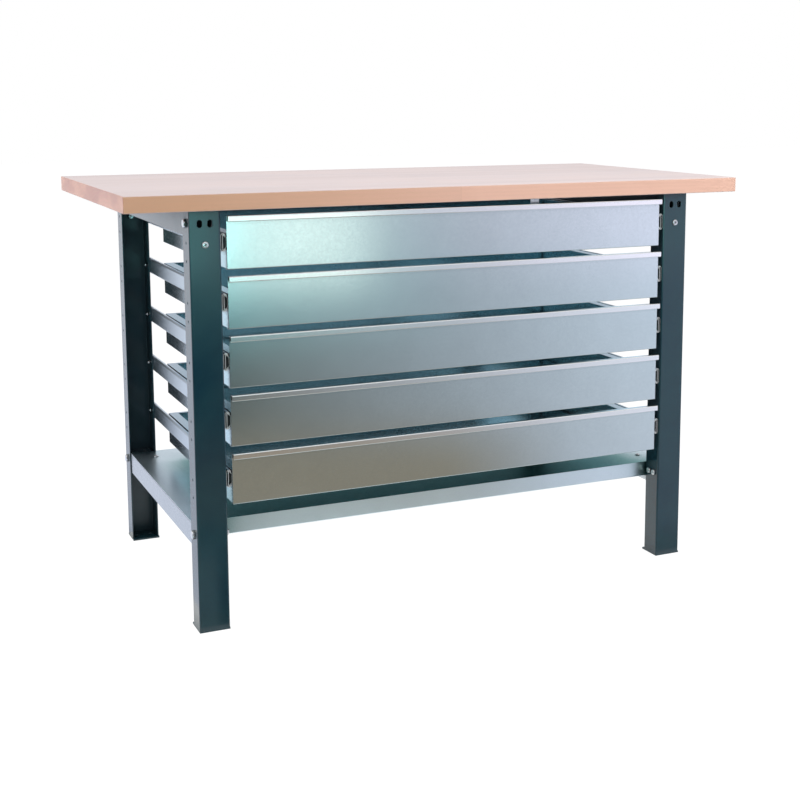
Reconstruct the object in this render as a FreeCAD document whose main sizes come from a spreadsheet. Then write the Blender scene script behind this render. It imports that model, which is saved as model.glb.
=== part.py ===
"""Jeweller's workbench: beech top, folded steel legs, shelf and five full-extension drawers.

Millimetres.  X runs along the bench (right positive), Y from front to back, Z up.
The origin lies on the floor, under the middle of the worktop.
"""
import FreeCAD, Part
import os
import re
import Sketcher

# Driving sizes: alias, value, meaning.
SIZES = {
    # worktop
    "bench_width": (1500, "worktop length"),
    "top_depth": (750, "worktop depth"),
    "bench_height": (945, "floor to worktop surface"),
    "top_thickness": (35, "worktop board thickness"),
    "top_edge": (1.2, "eased edge of the worktop"),
    # legs
    "side_overhang": (135, "worktop beyond the legs at each end"),
    "front_overhang": (13, "worktop beyond the front legs"),
    "back_overhang": (4, "worktop beyond the rear legs"),
    "leg_web": (67, "width of a leg"),
    "leg_flange": (52, "depth of a leg"),
    "leg_sheet": (2.5, "leg sheet thickness"),
    "leg_bend": (4, "outer bend radius of a leg"),
    "flange_line": (26, "hole line of the leg flanges, from the web face"),
    "web_slot_width": (11, "width of the upright slots in the leg web"),
    "web_slot_length": (16, "length of the upright slots in the leg web"),
    "web_slot_spacing": (22, "distance between the two web slots"),
    "web_screw_drop": (71, "web screw below the worktop"),
    "rail_hole_drop": (39, "second hole of each rail hole pair, below the first"),
    # feet
    "foot_thickness": (4, "foot plate thickness"),
    "foot_reach": (10, "foot plate beyond the leg flanges"),
    "foot_hole": (9, "anchor hole diameter in a foot plate"),
    "foot_hole_spacing": (34, "distance between the anchor holes"),
    # stretchers
    "stretcher_sheet": (2, "stretcher sheet thickness"),
    "stretcher_bend": (3.5, "outer bend radius of a stretcher"),
    "stretcher_end_gap": (2, "stretcher end to the leg web"),
    "top_stretcher_height": (54.5, "side height of a top stretcher"),
    "bottom_stretcher_height": (48.3, "side height of a bottom stretcher"),
    "top_bolt_drop": (27, "top stretcher bolts below the worktop"),
    "bottom_bolt_drop": (17, "bottom stretcher bolts below the stretcher top"),
    "side_bolt_spacing": (20, "distance between the paired bolts on an inner flange"),
    # shelf
    "shelf_gap": (45, "lowest drawer to the shelf surface"),
    "shelf_sheet": (1.2, "shelf sheet thickness"),
    "shelf_lip": (36.5, "depth of the folded shelf lips"),
    "shelf_return": (12, "return fold under a shelf lip"),
    "shelf_bend": (2.4, "outer bend radius of the shelf"),
    "shelf_screw_inset": (20.5, "shelf screws, from the stretcher centre line"),
    "shelf_screw_edge": (60, "shelf screws, from the front and rear shelf edges"),
    # drawers
    "drawer_count": (5, "number of drawers"),
    "drawer_pitch": (127, "vertical distance between drawers"),
    "drawer_top_gap": (12, "worktop underside to the first grip"),
    "front_height": (113.5, "height of a drawer front"),
    "grip_depth": (13, "how far the folded grip stands forward"),
    "grip_height": (12.5, "height of the folded grip"),
    "grip_hem": (4.5, "return fold behind the grip"),
    "front_return": (15, "fold of the front under the tray"),
    "drawer_sheet": (1, "drawer sheet thickness"),
    "drawer_bend": (1.8, "outer bend radius of the drawer sheet"),
    "drawer_back_gap": (156, "tray back to the rear leg faces"),
    "tray_height": (76, "tray wall height"),
    "rim_width": (22, "inward rim on the tray walls"),
    "rim_drop": (7, "turned-down edge of the tray rims"),
    # slides
    "slide_width": (12.7, "slide thickness between leg and tray"),
    "slide_height": (38, "slide height"),
    "slide_sheet": (1.2, "slide sheet thickness"),
    "slide_drop": (56, "slide centre line below the grip top"),
    "slide_setback": (4, "slide ends behind the leg faces"),
    "slide_back_gap": (14, "leg member's end to the rear leg faces"),
    "middle_shortfall": (115, "how much shorter the middle member is than the leg member"),
    "slide_corner": (3.5, "sloped corner of the slide beside the leg"),
    "slide_mouth": (8, "where the slide flanges begin to close, from the leg"),
    "slide_lip": (11, "end of the leg member's flanges, from the leg"),
    "middle_lip": (11.2, "end of the middle member's flanges, from the leg"),
    "middle_web": (4, "web of the middle member, from the leg"),
    "running_gap": (0.3, "gap between neighbouring slide members"),
    # fasteners
    "frame_bolt": (10, "frame bolt diameter"),
    "frame_bolt_flats": (17, "frame bolt and nut, across flats"),
    "frame_bolt_head": (6.4, "frame bolt head height"),
    "frame_nut": (8, "frame nut height"),
    "side_bolt": (8, "inner flange bolt diameter"),
    "side_bolt_flats": (13, "inner flange bolt and nut, across flats"),
    "side_bolt_head": (5.3, "inner flange bolt head height"),
    "side_nut": (6.5, "inner flange nut height"),
    "web_screw_head": (14.5, "web screw head diameter"),
    "web_screw_head_height": (3.6, "web screw head height"),
    "web_screw_length": (16, "web screw length under its head"),
    "rail_screw": (5, "rail screw diameter"),
    "rail_screw_head": (9, "rail screw head diameter"),
    "rail_screw_head_height": (2.2, "rail screw head height"),
    "rail_screw_tail": (6, "rail screw beyond the leg flange"),
    "rivet": (4, "tray rivet diameter"),
    "rivet_head": (7.6, "tray rivet head diameter"),
    "rivet_head_height": (1.1, "tray rivet head height"),
    "rivet_tail": (2.2, "tray rivet tail height"),
    "rivet_end": (60, "tray rivets, from the ends of the drawer member"),
    "shelf_screw": (6, "shelf screw diameter"),
    "shelf_screw_head": (11, "shelf screw head diameter"),
    "shelf_screw_head_height": (3.5, "shelf screw head height"),
    "wood_screw": (5, "worktop screw diameter"),
    "wood_screw_head": (10, "worktop screw head diameter"),
    "wood_screw_head_height": (2.6, "worktop screw head height"),
    "wood_screw_grip": (24, "worktop screw length in the wood"),
    "wood_screw_end": (90, "worktop screws, from the leg faces"),
    "pilot_rest": (1, "pilot hole beyond the tip of its screw"),
    "bolt_tail": (2, "thread beyond a nut"),
    "hole_clearance": (0.3, "radial clearance round a bolt, screw or rivet"),
}

# Sizes that follow from the driving ones.
DERIVED = {
    "top_underside": "bench_height - top_thickness",
    "frame_front": "top_depth / 2 - front_overhang",
    "frame_back": "top_depth / 2 - back_overhang",
    "frame_depth": "frame_front + frame_back",
    "leg_span": "bench_width - 2 * side_overhang",
    "leg_height": "top_underside - foot_thickness",
    "leg_centre": "leg_span / 2 - leg_web / 2",
    "leg_inner": "leg_span / 2 - leg_web",
    "flange_edge": "frame_front - leg_flange",
    "back_flange_edge": "frame_back - leg_flange",
    "stretcher_half": "leg_web / 2 - leg_sheet",
    "stretcher_start": "leg_sheet + stretcher_end_gap",
    "stretcher_length": "frame_depth - 2 * stretcher_start",
    "stretcher_line": "flange_line - stretcher_start",
    "shelf_height": "first_drawer - drawer_pitch * (drawer_count - 1) - shelf_gap",
    "bottom_stretcher_base": "shelf_height - shelf_sheet - bottom_stretcher_height",
    "bottom_bolt_height": "shelf_height - shelf_sheet - bottom_bolt_drop",
    "shelf_front": "flange_edge - running_gap",
    "shelf_back": "back_flange_edge - running_gap",
    "lip_half": "leg_centre - stretcher_half - running_gap",
    "shelf_half": "leg_centre + stretcher_half",
    "tray_half": "leg_inner - slide_width",
    "first_drawer": "top_underside - drawer_top_gap - front_height",
    "drawer_depth": "frame_depth - drawer_back_gap",
    "wall_root": "1.5 * drawer_sheet",
    "bend_corner": "(2 - sqrt(2)) * drawer_bend",
    "slide_length": "frame_depth - slide_setback - slide_back_gap",
    "middle_length": "slide_length - middle_shortfall",
    "slide_centre": "front_height - slide_drop",
    "slide_half": "slide_height / 2",
    "front_line": "flange_line - slide_setback",
    "back_line": "frame_depth - slide_setback - flange_line",
    "drawer_member_length": "drawer_depth - slide_setback - drawer_sheet",
    "middle_offset": "slide_sheet + running_gap",
    "member_offset": "2 * middle_offset",
    "rivet_depth": "slide_width - slide_sheet",
}

NAMES = re.compile(r"[a-z]+(?:_[a-z]+)*")

# Small repeated pieces have few sides: a hexagon for a shank, an octagon for a head in view.
SHANK_SIDES = 6
HEAD_SIDES = 8


def bound(text):
    """Write a formula in size names as an expression on the sheet."""
    def lookup(match):
        name = match.group(0)
        if name in SIZES:
            return "Sizes." + name
        if name in DERIVED:
            return "(" + bound(DERIVED[name]) + ")"
        return name
    return NAMES.sub(lookup, str(text))


doc = FreeCAD.newDocument("Bench")
sheet = doc.addObject("Spreadsheet::Sheet", "Sizes")
for row, (alias, (number, meaning)) in enumerate(SIZES.items(), start=1):
    sheet.set("A%d" % row, alias)
    sheet.set("B%d" % row, str(number))
    sheet.set("C%d" % row, meaning)
    sheet.setAlias("B%d" % row, alias)
doc.recompute()

nodes = []


def value(text):
    """Work a formula out as a number."""
    return float(sheet.evalExpression(bound(text)))


def bind(item, path, text):
    """Tie one property of an object to a formula."""
    item.setExpression(path, bound(text))


def put(item, x, y, z):
    """Place an object by three formulas."""
    for axis, text in (("x", x), ("y", y), ("z", z)):
        bind(item, "Placement.Base." + axis, text)


def keep(item, label):
    """Name a finished sub-part and list it for export."""
    item.Label = label
    nodes.append(item)
    return item


# ---------------------------------------------------------------- sketches

def new_body(name):
    """Start a PartDesign body."""
    return doc.addObject("PartDesign::Body", name + "_body")


def new_sketch(body, role, lift="0"):
    """Attach a sketch to one of the body's own planes, lifted along its normal."""
    sketch = body.newObject("Sketcher::SketchObject", "Sketch")
    plane = next(item for item in body.Origin.OriginFeatures if item.Role == role)
    sketch.AttachmentSupport = (plane, [""])
    sketch.MapMode = "FlatFace"
    bind(sketch, "AttachmentOffset.Base.z", lift)
    return sketch


def fix_point(sketch, geometry, point, x, y):
    """Dimension a point from the sketch origin."""
    for kind, text in (("DistanceX", x), ("DistanceY", y)):
        datum = Sketcher.Constraint(kind, -1, 1, geometry, point, value(text))
        bind(sketch, "Constraints[%d]" % sketch.addConstraint(datum), text)


def outline(sketch, corners):
    """Draw a closed outline through corners given as pairs of formulas."""
    points = [FreeCAD.Vector(value(x), value(y), 0) for x, y in corners]
    first = sketch.GeometryCount
    count = len(points)
    sides = [Part.LineSegment(points[i], points[(i + 1) % count]) for i in range(count)]
    sketch.addGeometry(sides, False)
    joints = [Sketcher.Constraint("Coincident", first + i, 2, first + (i + 1) % count, 1)
              for i in range(count)]
    sketch.addConstraint(joints)
    for index, (x, y) in enumerate(corners):
        fix_point(sketch, first + index, 1, x, y)


def box_outline(sketch, left, bottom, right, top):
    """Draw a rectangle between two corners."""
    outline(sketch, [(left, bottom), (right, bottom), (right, top), (left, top)])


def circle(sketch, x, y, diameter):
    """Draw a circle."""
    centre = FreeCAD.Vector(value(x), value(y), 0)
    ring = Part.Circle(centre, FreeCAD.Vector(0, 0, 1), value(diameter) / 2)
    geometry = sketch.addGeometry(ring, False)
    fix_point(sketch, geometry, 3, x, y)
    datum = Sketcher.Constraint("Diameter", geometry, value(diameter))
    bind(sketch, "Constraints[%d]" % sketch.addConstraint(datum), diameter)


def mirrored(quarter, x, y):
    """Mirror the corners of one quarter about a centre, in order round the outline."""
    ring = [(1, 1, corner) for corner in quarter]
    ring += [(-1, 1, corner) for corner in reversed(quarter)]
    ring += [(-1, -1, corner) for corner in quarter]
    ring += [(1, -1, corner) for corner in reversed(quarter)]
    return [("(%s) + %d * (%s)" % (x, right, across), "(%s) + %d * (%s)" % (y, up, rise))
            for right, up, (across, rise) in ring]


def small_hole(sketch, x, y, diameter):
    """Draw a hexagonal hole that clears a bolt, screw or rivet."""
    flat = "((%s) / 2 + hole_clearance)" % diameter
    tip = "2 * %s / sqrt(3)" % flat
    upper = [("(%s) + %s" % (x, tip), y), ("(%s) + %s / sqrt(3)" % (x, flat), "(%s) + %s" % (y, flat)),
             ("(%s) - %s / sqrt(3)" % (x, flat), "(%s) + %s" % (y, flat))]
    lower = [("(%s) - %s" % (x, tip), y), ("(%s) - %s / sqrt(3)" % (x, flat), "(%s) - %s" % (y, flat)),
             ("(%s) + %s / sqrt(3)" % (x, flat), "(%s) - %s" % (y, flat))]
    outline(sketch, upper + lower)


def upright_slot(sketch, x, y, width, length):
    """Draw an eight-sided slot, longer along the sketch's Y axis."""
    half = "(%s) / 2" % width
    bevel = "(2 - sqrt(2)) * %s" % half
    rise = "(%s) / 2" % length
    outline(sketch, mirrored([(half, "%s - %s" % (rise, bevel)), ("%s - %s" % (half, bevel), rise)],
                             x, y))


# ---------------------------------------------------------------- features

def pad(body, sketch, length, reverse=False, symmetric=False):
    """Raise a sketch."""
    feature = body.newObject("PartDesign::Pad", "Pad")
    feature.Profile = sketch
    feature.Reversed = reverse
    feature.SideType = "Symmetric" if symmetric else "One side"
    bind(feature, "Length", length)
    doc.recompute()
    return feature


def cut(body, sketch, length, reverse=False, symmetric=False):
    """Cut a sketch into the body, and make sure that it removed material."""
    before = body.Shape.Volume
    feature = body.newObject("PartDesign::Pocket", "Pocket")
    feature.Profile = sketch
    feature.Reversed = reverse
    feature.SideType = "Symmetric" if symmetric else "One side"
    bind(feature, "Length", length)
    doc.recompute()
    assert body.Shape.Volume < before - 1, body.Name + ": a pocket missed the sheet"
    return feature


def repeat(body, feature, sketch, axis, pitch, count, reverse=False):
    """Repeat a feature along an axis of its sketch."""
    pattern = body.newObject("PartDesign::LinearPattern", "LinearPattern")
    pattern.Originals = [feature]
    pattern.Direction = (sketch, [axis])
    pattern.Reversed = reverse
    bind(pattern, "Length", "(%s) * (%s - 1)" % (pitch, count))
    bind(pattern, "Occurrences", count)
    body.Tip = pattern
    doc.recompute()
    return pattern


def edges_along(shape, direction, corners):
    """Name the edges parallel to a direction that pass through the given corners."""
    found = []
    for number, edge in enumerate(shape.Edges, start=1):
        start, end = edge.Vertexes[0].Point, edge.Vertexes[-1].Point
        run = end - start
        if run.Length < 1e-6 or run.cross(direction).Length > 1e-6 * run.Length:
            continue
        for corner in corners:
            if (corner - start).cross(direction).Length < 1e-4:
                found.append("Edge%d" % number)
                break
    return found


def round_bends(body, direction, corners, radius):
    """Round the folds that run along a direction through the given corners."""
    base = body.Tip
    feature = body.newObject("PartDesign::Fillet", "Fillet")
    feature.Base = (base, edges_along(base.Shape, direction, corners))
    bind(feature, "Radius", radius)
    doc.recompute()
    return feature


ALONG_X = FreeCAD.Vector(1, 0, 0)
ALONG_Y = FreeCAD.Vector(0, 1, 0)
ALONG_Z = FreeCAD.Vector(0, 0, 1)


def in_plan(pairs):
    """Turn pairs of formulas into points of the XY plane."""
    return [FreeCAD.Vector(value(x), value(y), 0) for x, y in pairs]


def in_front_view(pairs):
    """Turn pairs of formulas into points of the XZ plane."""
    return [FreeCAD.Vector(value(x), 0, value(z)) for x, z in pairs]


def in_side_view(pairs):
    """Turn pairs of formulas into points of the YZ plane."""
    return [FreeCAD.Vector(0, value(y), value(z)) for y, z in pairs]


# ---------------------------------------------------------------- fasteners

def step(name, diameter, start, height, sides):
    """Make a prism along Z with its corners on a circle."""
    piece = doc.addObject("Part::Prism", name + "_step")
    piece.Polygon = sides
    bind(piece, "Circumradius", "(%s) / 2" % diameter)
    bind(piece, "Height", height)
    bind(piece, "Placement.Base.z", start)
    return piece


def hexagon(name, flats, start, height):
    """Make a hexagonal prism along Z, sized across its flats."""
    return step(name, "2 * (%s) / sqrt(3)" % flats, start, height, 6)


def join(name, parts):
    """Fuse primitives into one solid."""
    fusion = doc.addObject("Part::MultiFuse", name + "_master")
    fusion.Shapes = parts
    return fusion


def shank(name, diameter, reach):
    """Make a shank from the origin down."""
    return step(name, diameter, "0 - (%s)" % reach, reach, SHANK_SIDES)


def hex_bolt(name, diameter, flats, head, reach):
    """Hex bolt: head on +Z, shank down from the origin."""
    return join(name, [shank(name, diameter, reach), hexagon(name, flats, "0", head)])


def flat_screw(name, diameter, head, head_height, reach, sides):
    """Screw with a low head on +Z, shank down from the origin."""
    return join(name, [shank(name, diameter, reach), step(name, head, "0", head_height, sides)])


def hex_nut(name, diameter, flats, start, height):
    """Hex nut along Z, from a start height, seated on its bolt's shank."""
    nut = doc.addObject("Part::Cut", name + "_master")
    nut.Base = hexagon(name, flats, start, height)
    nut.Tool = step(name, diameter, "(%s) - (%s)" % (start, height), "3 * (%s)" % height,
                    SHANK_SIDES)
    return nut


def facing(direction):
    """Rotation that turns +Z to a direction."""
    return FreeCAD.Rotation(ALONG_Z, FreeCAD.Vector(*direction))


def group(label, master, seats):
    """Put copies of a piece on its seats: each is a direction and three formulas."""
    copies = []
    for direction, x, y, z in seats:
        copy = doc.addObject("App::Link", label + "_copy")
        copy.LinkedObject = master
        copy.Placement = FreeCAD.Placement(FreeCAD.Vector(), facing(direction))
        put(copy, x, y, z)
        copies.append(copy)
    compound = doc.addObject("Part::Compound", label + "_group")
    compound.Links = copies
    return keep(compound, label)


# ---------------------------------------------------------------- worktop

SIDES = (("left", -1), ("right", 1))
ENDS = (("front", -1), ("rear", 1))


def signed(sign, text):
    """Mirror a formula."""
    return "%d * (%s)" % (sign, text)


def end_line(end, inward):
    """Distance along Y of a line set inward from the front or rear leg faces."""
    if end < 0:
        return "0 - frame_front + (%s)" % inward
    return "frame_back - (%s)" % inward


def screw_lines():
    """Distances along Y of the worktop screws on a stretcher."""
    return end_line(-1, "wood_screw_end"), end_line(1, "wood_screw_end")


def make_worktop():
    """Beech board with eased edges and pilot holes for the stretcher screws."""
    body = new_body("worktop")
    plan = new_sketch(body, "XY_Plane")
    box_outline(plan, "0 - bench_width / 2", "0 - top_depth / 2", "bench_width / 2", "top_depth / 2")
    board = pad(body, plan, "top_thickness")
    edge = body.newObject("PartDesign::Chamfer", "Chamfer")
    edge.Base = (board, ["Edge%d" % number for number in range(1, len(board.Shape.Edges) + 1)])
    bind(edge, "Size", "top_edge")
    doc.recompute()
    pilots = new_sketch(body, "XY_Plane")
    for _, side in SIDES:
        for line in screw_lines():
            small_hole(pilots, signed(side, "leg_centre"), line, "wood_screw")
    cut(body, pilots, "wood_screw_grip + pilot_rest", reverse=True)
    put(body, "0", "0", "top_underside")
    keep(body, "worktop")


# ---------------------------------------------------------------- legs and feet

def make_leg(end_name, end, side_name, side):
    """Folded channel: web outward, flanges pointing to the middle of the bench."""
    body = new_body("leg")
    half = "leg_web / 2"
    inner = "leg_web / 2 - leg_sheet"
    section = new_sketch(body, "XY_Plane")
    outline(section, [
        ("0 - " + half, "0"), (half, "0"), (half, "leg_flange"), (inner, "leg_flange"),
        (inner, "leg_sheet"), ("0 - (%s)" % inner, "leg_sheet"),
        ("0 - (%s)" % inner, "leg_flange"), ("0 - " + half, "leg_flange"),
    ])
    pad(body, section, "leg_height")
    round_bends(body, ALONG_Z, in_plan([("0 - " + half, "0"), (half, "0")]), "leg_bend")
    round_bends(body, ALONG_Z,
                in_plan([("0 - (%s)" % inner, "leg_sheet"), (inner, "leg_sheet")]),
                "leg_bend - leg_sheet")

    web = new_sketch(body, "XZ_Plane")
    for sign in (-1, 1):
        upright_slot(web, signed(sign, "web_slot_spacing / 2"), "leg_height - top_bolt_drop",
                     "web_slot_width", "web_slot_length")
    small_hole(web, "0", "leg_height - web_screw_drop", "side_bolt")
    cut(body, web, "2 * leg_sheet")

    rail_height = "first_drawer + slide_centre - foot_thickness"
    pair = new_sketch(body, "YZ_Plane")
    small_hole(pair, "flange_line", rail_height, "rail_screw")
    pair_cut = cut(body, pair, "2 * leg_web", symmetric=True)
    repeat(body, pair_cut, pair, "V_Axis", "drawer_pitch", "drawer_count", reverse=True)

    turned_round = end > 0
    outer = side if not turned_round else -side
    spare = new_sketch(body, "YZ_Plane")
    small_hole(spare, "flange_line", "%s - rail_hole_drop" % rail_height, "rail_screw")
    spare_cut = cut(body, spare, "leg_web", reverse=outer > 0)
    repeat(body, spare_cut, spare, "V_Axis", "drawer_pitch", "drawer_count", reverse=True)

    bottom_bolts = "bottom_bolt_height - foot_thickness"
    outside = new_sketch(body, "YZ_Plane")
    for height in ("leg_height - top_bolt_drop", bottom_bolts):
        small_hole(outside, "flange_line", height, "frame_bolt")
    cut(body, outside, "leg_web", reverse=outer > 0)
    inside = new_sketch(body, "YZ_Plane")
    for sign in (-1, 1):
        small_hole(inside, "flange_line + %d * side_bolt_spacing / 2" % sign, bottom_bolts,
                   "side_bolt")
    cut(body, inside, "leg_web", reverse=outer < 0)

    if turned_round:
        body.Placement = FreeCAD.Placement(FreeCAD.Vector(), FreeCAD.Rotation(ALONG_Z, 180))
    put(body, signed(side, "leg_centre"), end_line(end, "0"), "foot_thickness")
    keep(body, "leg_%s_%s" % (end_name, side_name))


def make_feet():
    """Foot plate welded under each leg, with two anchor holes."""
    master = new_body("foot")
    plan = new_sketch(master, "XY_Plane")
    box_outline(plan, "0 - leg_web / 2", "0", "leg_web / 2", "leg_flange + foot_reach")
    for sign in (-1, 1):
        circle(plan, signed(sign, "foot_hole_spacing / 2"), "flange_line + leg_sheet", "foot_hole")
    pad(master, plan, "foot_thickness")
    copies = []
    for _, end in ENDS:
        for _, side in SIDES:
            copy = doc.addObject("App::Link", "foot_copy")
            copy.LinkedObject = master
            turn = FreeCAD.Rotation(ALONG_Z, 180 if end > 0 else 0)
            copy.Placement = FreeCAD.Placement(FreeCAD.Vector(), turn)
            put(copy, signed(side, "leg_centre"), end_line(end, "0"), "0")
            copies.append(copy)
    plates = doc.addObject("Part::Compound", "foot_group")
    plates.Links = copies
    keep(plates, "foot_plates")


# ---------------------------------------------------------------- stretchers and shelf

def make_stretcher(label, side, height, base, bolt_height, top_holes, paired):
    """Folded channel, open downward, bolted between the flanges of two legs."""
    body = new_body("stretcher")
    half = "stretcher_half"
    inner = "stretcher_half - stretcher_sheet"
    section = new_sketch(body, "XZ_Plane")
    outline(section, [
        ("0 - " + half, "0"), ("0 - " + half, height), (half, height), (half, "0"),
        (inner, "0"), (inner, "%s - stretcher_sheet" % height),
        ("0 - (%s)" % inner, "%s - stretcher_sheet" % height), ("0 - (%s)" % inner, "0"),
    ])
    pad(body, section, "stretcher_length", reverse=True)
    round_bends(body, ALONG_Y, in_front_view([("0 - " + half, height), (half, height)]),
                "stretcher_bend")
    lines = ("stretcher_line", "stretcher_length - (stretcher_line)")
    outside = new_sketch(body, "YZ_Plane")
    for line in lines:
        small_hole(outside, line, bolt_height, "frame_bolt")
    cut(body, outside, "leg_web", reverse=side > 0)
    if paired:
        inside = new_sketch(body, "YZ_Plane")
        for line in lines:
            for sign in (-1, 1):
                small_hole(inside, "%s + %d * side_bolt_spacing / 2" % (line, sign),
                           bolt_height, "side_bolt")
        cut(body, inside, "leg_web", reverse=side < 0)
    plan = new_sketch(body, "XY_Plane")
    for x, y, diameter in top_holes:
        small_hole(plan, x, "%s + frame_front - stretcher_start" % y, diameter)
    cut(body, plan, "2 * (%s)" % height, reverse=True)
    put(body, signed(side, "leg_centre"), "stretcher_start - frame_front", base)
    keep(body, label)


def shelf_screw_lines():
    """Distances along Y of the shelf screws."""
    return ("shelf_screw_edge - shelf_front", "shelf_back - shelf_screw_edge")


def make_shelf():
    """Galvanised tray between the legs, with folded lips front and back."""
    body = new_body("shelf")
    front = "0 - shelf_front"
    back = "shelf_back"
    sheet_in = "shelf_sheet"
    low = "0 - shelf_lip"
    section = new_sketch(body, "YZ_Plane")
    outline(section, [
        (front, "0"), (back, "0"), (back, low), ("shelf_back - shelf_return", low),
        ("shelf_back - shelf_return", low + " + " + sheet_in),
        ("shelf_back - shelf_sheet", low + " + " + sheet_in),
        ("shelf_back - shelf_sheet", "0 - shelf_sheet"),
        ("shelf_sheet - shelf_front", "0 - shelf_sheet"),
        ("shelf_sheet - shelf_front", low + " + " + sheet_in),
        ("shelf_return - shelf_front", low + " + " + sheet_in),
        ("shelf_return - shelf_front", low), (front, low),
    ])
    pad(body, section, "2 * lip_half", symmetric=True)
    round_bends(body, ALONG_X,
                in_side_view([(front, low), (back, low)]), "shelf_bend")
    plan = new_sketch(body, "XY_Plane", "0 - shelf_sheet")
    box_outline(plan, "0 - shelf_half", front, "shelf_half", back)
    pad(body, plan, "shelf_sheet")
    holes = new_sketch(body, "XY_Plane")
    for _, side in SIDES:
        for line in shelf_screw_lines():
            small_hole(holes, signed(side, "leg_centre - shelf_screw_inset"), line,
                       "shelf_screw")
    cut(body, holes, "2 * shelf_sheet", symmetric=True)
    put(body, "0", "0", "shelf_height")
    keep(body, "shelf")


def make_frame():
    """Legs, feet, stretchers and shelf."""
    for end_name, end in ENDS:
        for side_name, side in SIDES:
            make_leg(end_name, end, side_name, side)
    make_feet()
    for side_name, side in SIDES:
        wood_holes = [("0", line, "wood_screw") for line in screw_lines()]
        make_stretcher("top_stretcher_" + side_name, side, "top_stretcher_height",
                       "top_underside - top_stretcher_height",
                       "top_stretcher_height - top_bolt_drop", wood_holes, False)
        shelf_holes = [(signed(-side, "shelf_screw_inset"), line, "shelf_screw")
                       for line in shelf_screw_lines()]
        make_stretcher("bottom_stretcher_" + side_name, side, "bottom_stretcher_height",
                       "bottom_stretcher_base",
                       "bottom_stretcher_height - bottom_bolt_drop", shelf_holes, True)
    make_shelf()


# ---------------------------------------------------------------- drawers

def drawer_base(level):
    """Height of a drawer's lowest edge, counted from the top drawer."""
    return "first_drawer - %d * drawer_pitch" % level


def make_tray(level):
    """Folded tray with rims turned inward, front and back walls in one sheet."""
    body = new_body("tray")
    wide = "tray_half"
    low = "drawer_sheet"
    rise = "tray_height"
    inner = "tray_half - drawer_sheet"
    rim = "tray_half - rim_width"
    rim_in = "tray_half - rim_width + drawer_sheet"
    under = "tray_height - drawer_sheet"
    drop = "tray_height - rim_drop"
    right_half = [("tray_half - bend_corner", low), (wide, "drawer_sheet + bend_corner"),
                  (wide, rise), (rim, rise), (rim, drop), (rim_in, drop),
                  (rim_in, under), (inner, under), (inner, "2 * drawer_sheet")]
    left_half = [("0 - (%s)" % x, z) for x, z in reversed(right_half)]
    section = new_sketch(body, "XZ_Plane", "0 - drawer_sheet")
    outline(section, right_half + left_half)
    pad(body, section, "drawer_depth - drawer_sheet", reverse=True)
    for start, top in (("drawer_sheet", rise), ("drawer_depth - drawer_sheet", rise)):
        wall = new_sketch(body, "XZ_Plane", "0 - (%s)" % start)
        box_outline(wall, "0 - (%s)" % inner, "wall_root", inner, top)
        pad(body, wall, "drawer_sheet", reverse=True)
    rim_sketch = new_sketch(body, "XY_Plane", under)
    box_outline(rim_sketch, "0 - (%s)" % rim, "drawer_depth - rim_width / 2", rim, "drawer_depth")
    pad(body, rim_sketch, "drawer_sheet")
    holes = new_sketch(body, "YZ_Plane")
    for line in rivet_lines():
        small_hole(holes, "%s + slide_setback" % line, "slide_centre", "rivet")
    cut(body, holes, "4 * tray_half", symmetric=True)
    put(body, "0", "0 - frame_front", drawer_base(level))
    keep(body, "drawer_%d_tray" % (level + 1))


def make_front(level):
    """Drawer front with a grip folded forward along its top edge."""
    body = new_body("front")
    section = new_sketch(body, "YZ_Plane")
    grip = "0 - grip_depth"
    foot = "front_height - grip_height"
    outline(section, [
        ("front_return", "0"), ("0", "0"), ("0", "front_height - drawer_sheet"),
        (grip + " + drawer_sheet", "front_height - drawer_sheet"),
        (grip + " + drawer_sheet", foot + " + drawer_sheet"),
        (grip + " + grip_hem", foot + " + drawer_sheet"), (grip + " + grip_hem", foot),
        (grip, foot), (grip, "front_height"), ("drawer_sheet", "front_height"),
        ("drawer_sheet", "drawer_sheet"), ("front_return", "drawer_sheet"),
    ])
    pad(body, section, "2 * tray_half", symmetric=True)
    round_bends(body, ALONG_X,
                in_side_view([("0", "0"), (grip, foot), (grip, "front_height"),
                              ("drawer_sheet", "front_height")]),
                "drawer_bend")
    put(body, "0", "0 - frame_front", drawer_base(level))
    keep(body, "drawer_%d_front" % (level + 1))


# ---------------------------------------------------------------- slides

def sloped(start, offset):
    """Height of the slide's closing slope, moved inward by an offset, at a depth."""
    return "slide_half + slide_mouth - (%s) - sqrt(2) * (%s)" % (start, offset)


def half_channel(web, web_corner, offset, lip):
    """Upper half of one slide member's skin, from the web to the lip.

    The skin is a part of the slide's octagon, moved inward by an offset.
    """
    top = "slide_half - (%s)" % offset
    bend = "(sqrt(2) - 1) * (%s)" % offset
    return [(web, "%s - (%s)" % (top, web_corner)),
            ("%s + %s" % (web, web_corner), top),
            ("slide_mouth - " + bend, top),
            (lip, sloped(lip, offset))]


def leg_member():
    """Outline of the member fixed to the legs: an octagonal channel."""
    inner_corner = "slide_corner - (2 - sqrt(2)) * slide_sheet"
    outer = half_channel("0", "slide_corner", "0", "slide_lip")
    inner = half_channel("slide_sheet", inner_corner, "slide_sheet", "slide_lip")
    return outer, inner


def middle_member():
    """Outline of the member that runs between the other two."""
    outer = half_channel("middle_web", "slide_sheet", "middle_offset", "middle_lip")
    inner = half_channel("middle_web + slide_sheet", "(sqrt(2) - 1) * slide_sheet",
                         "middle_offset + slide_sheet", "middle_lip")
    return outer, inner


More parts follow.
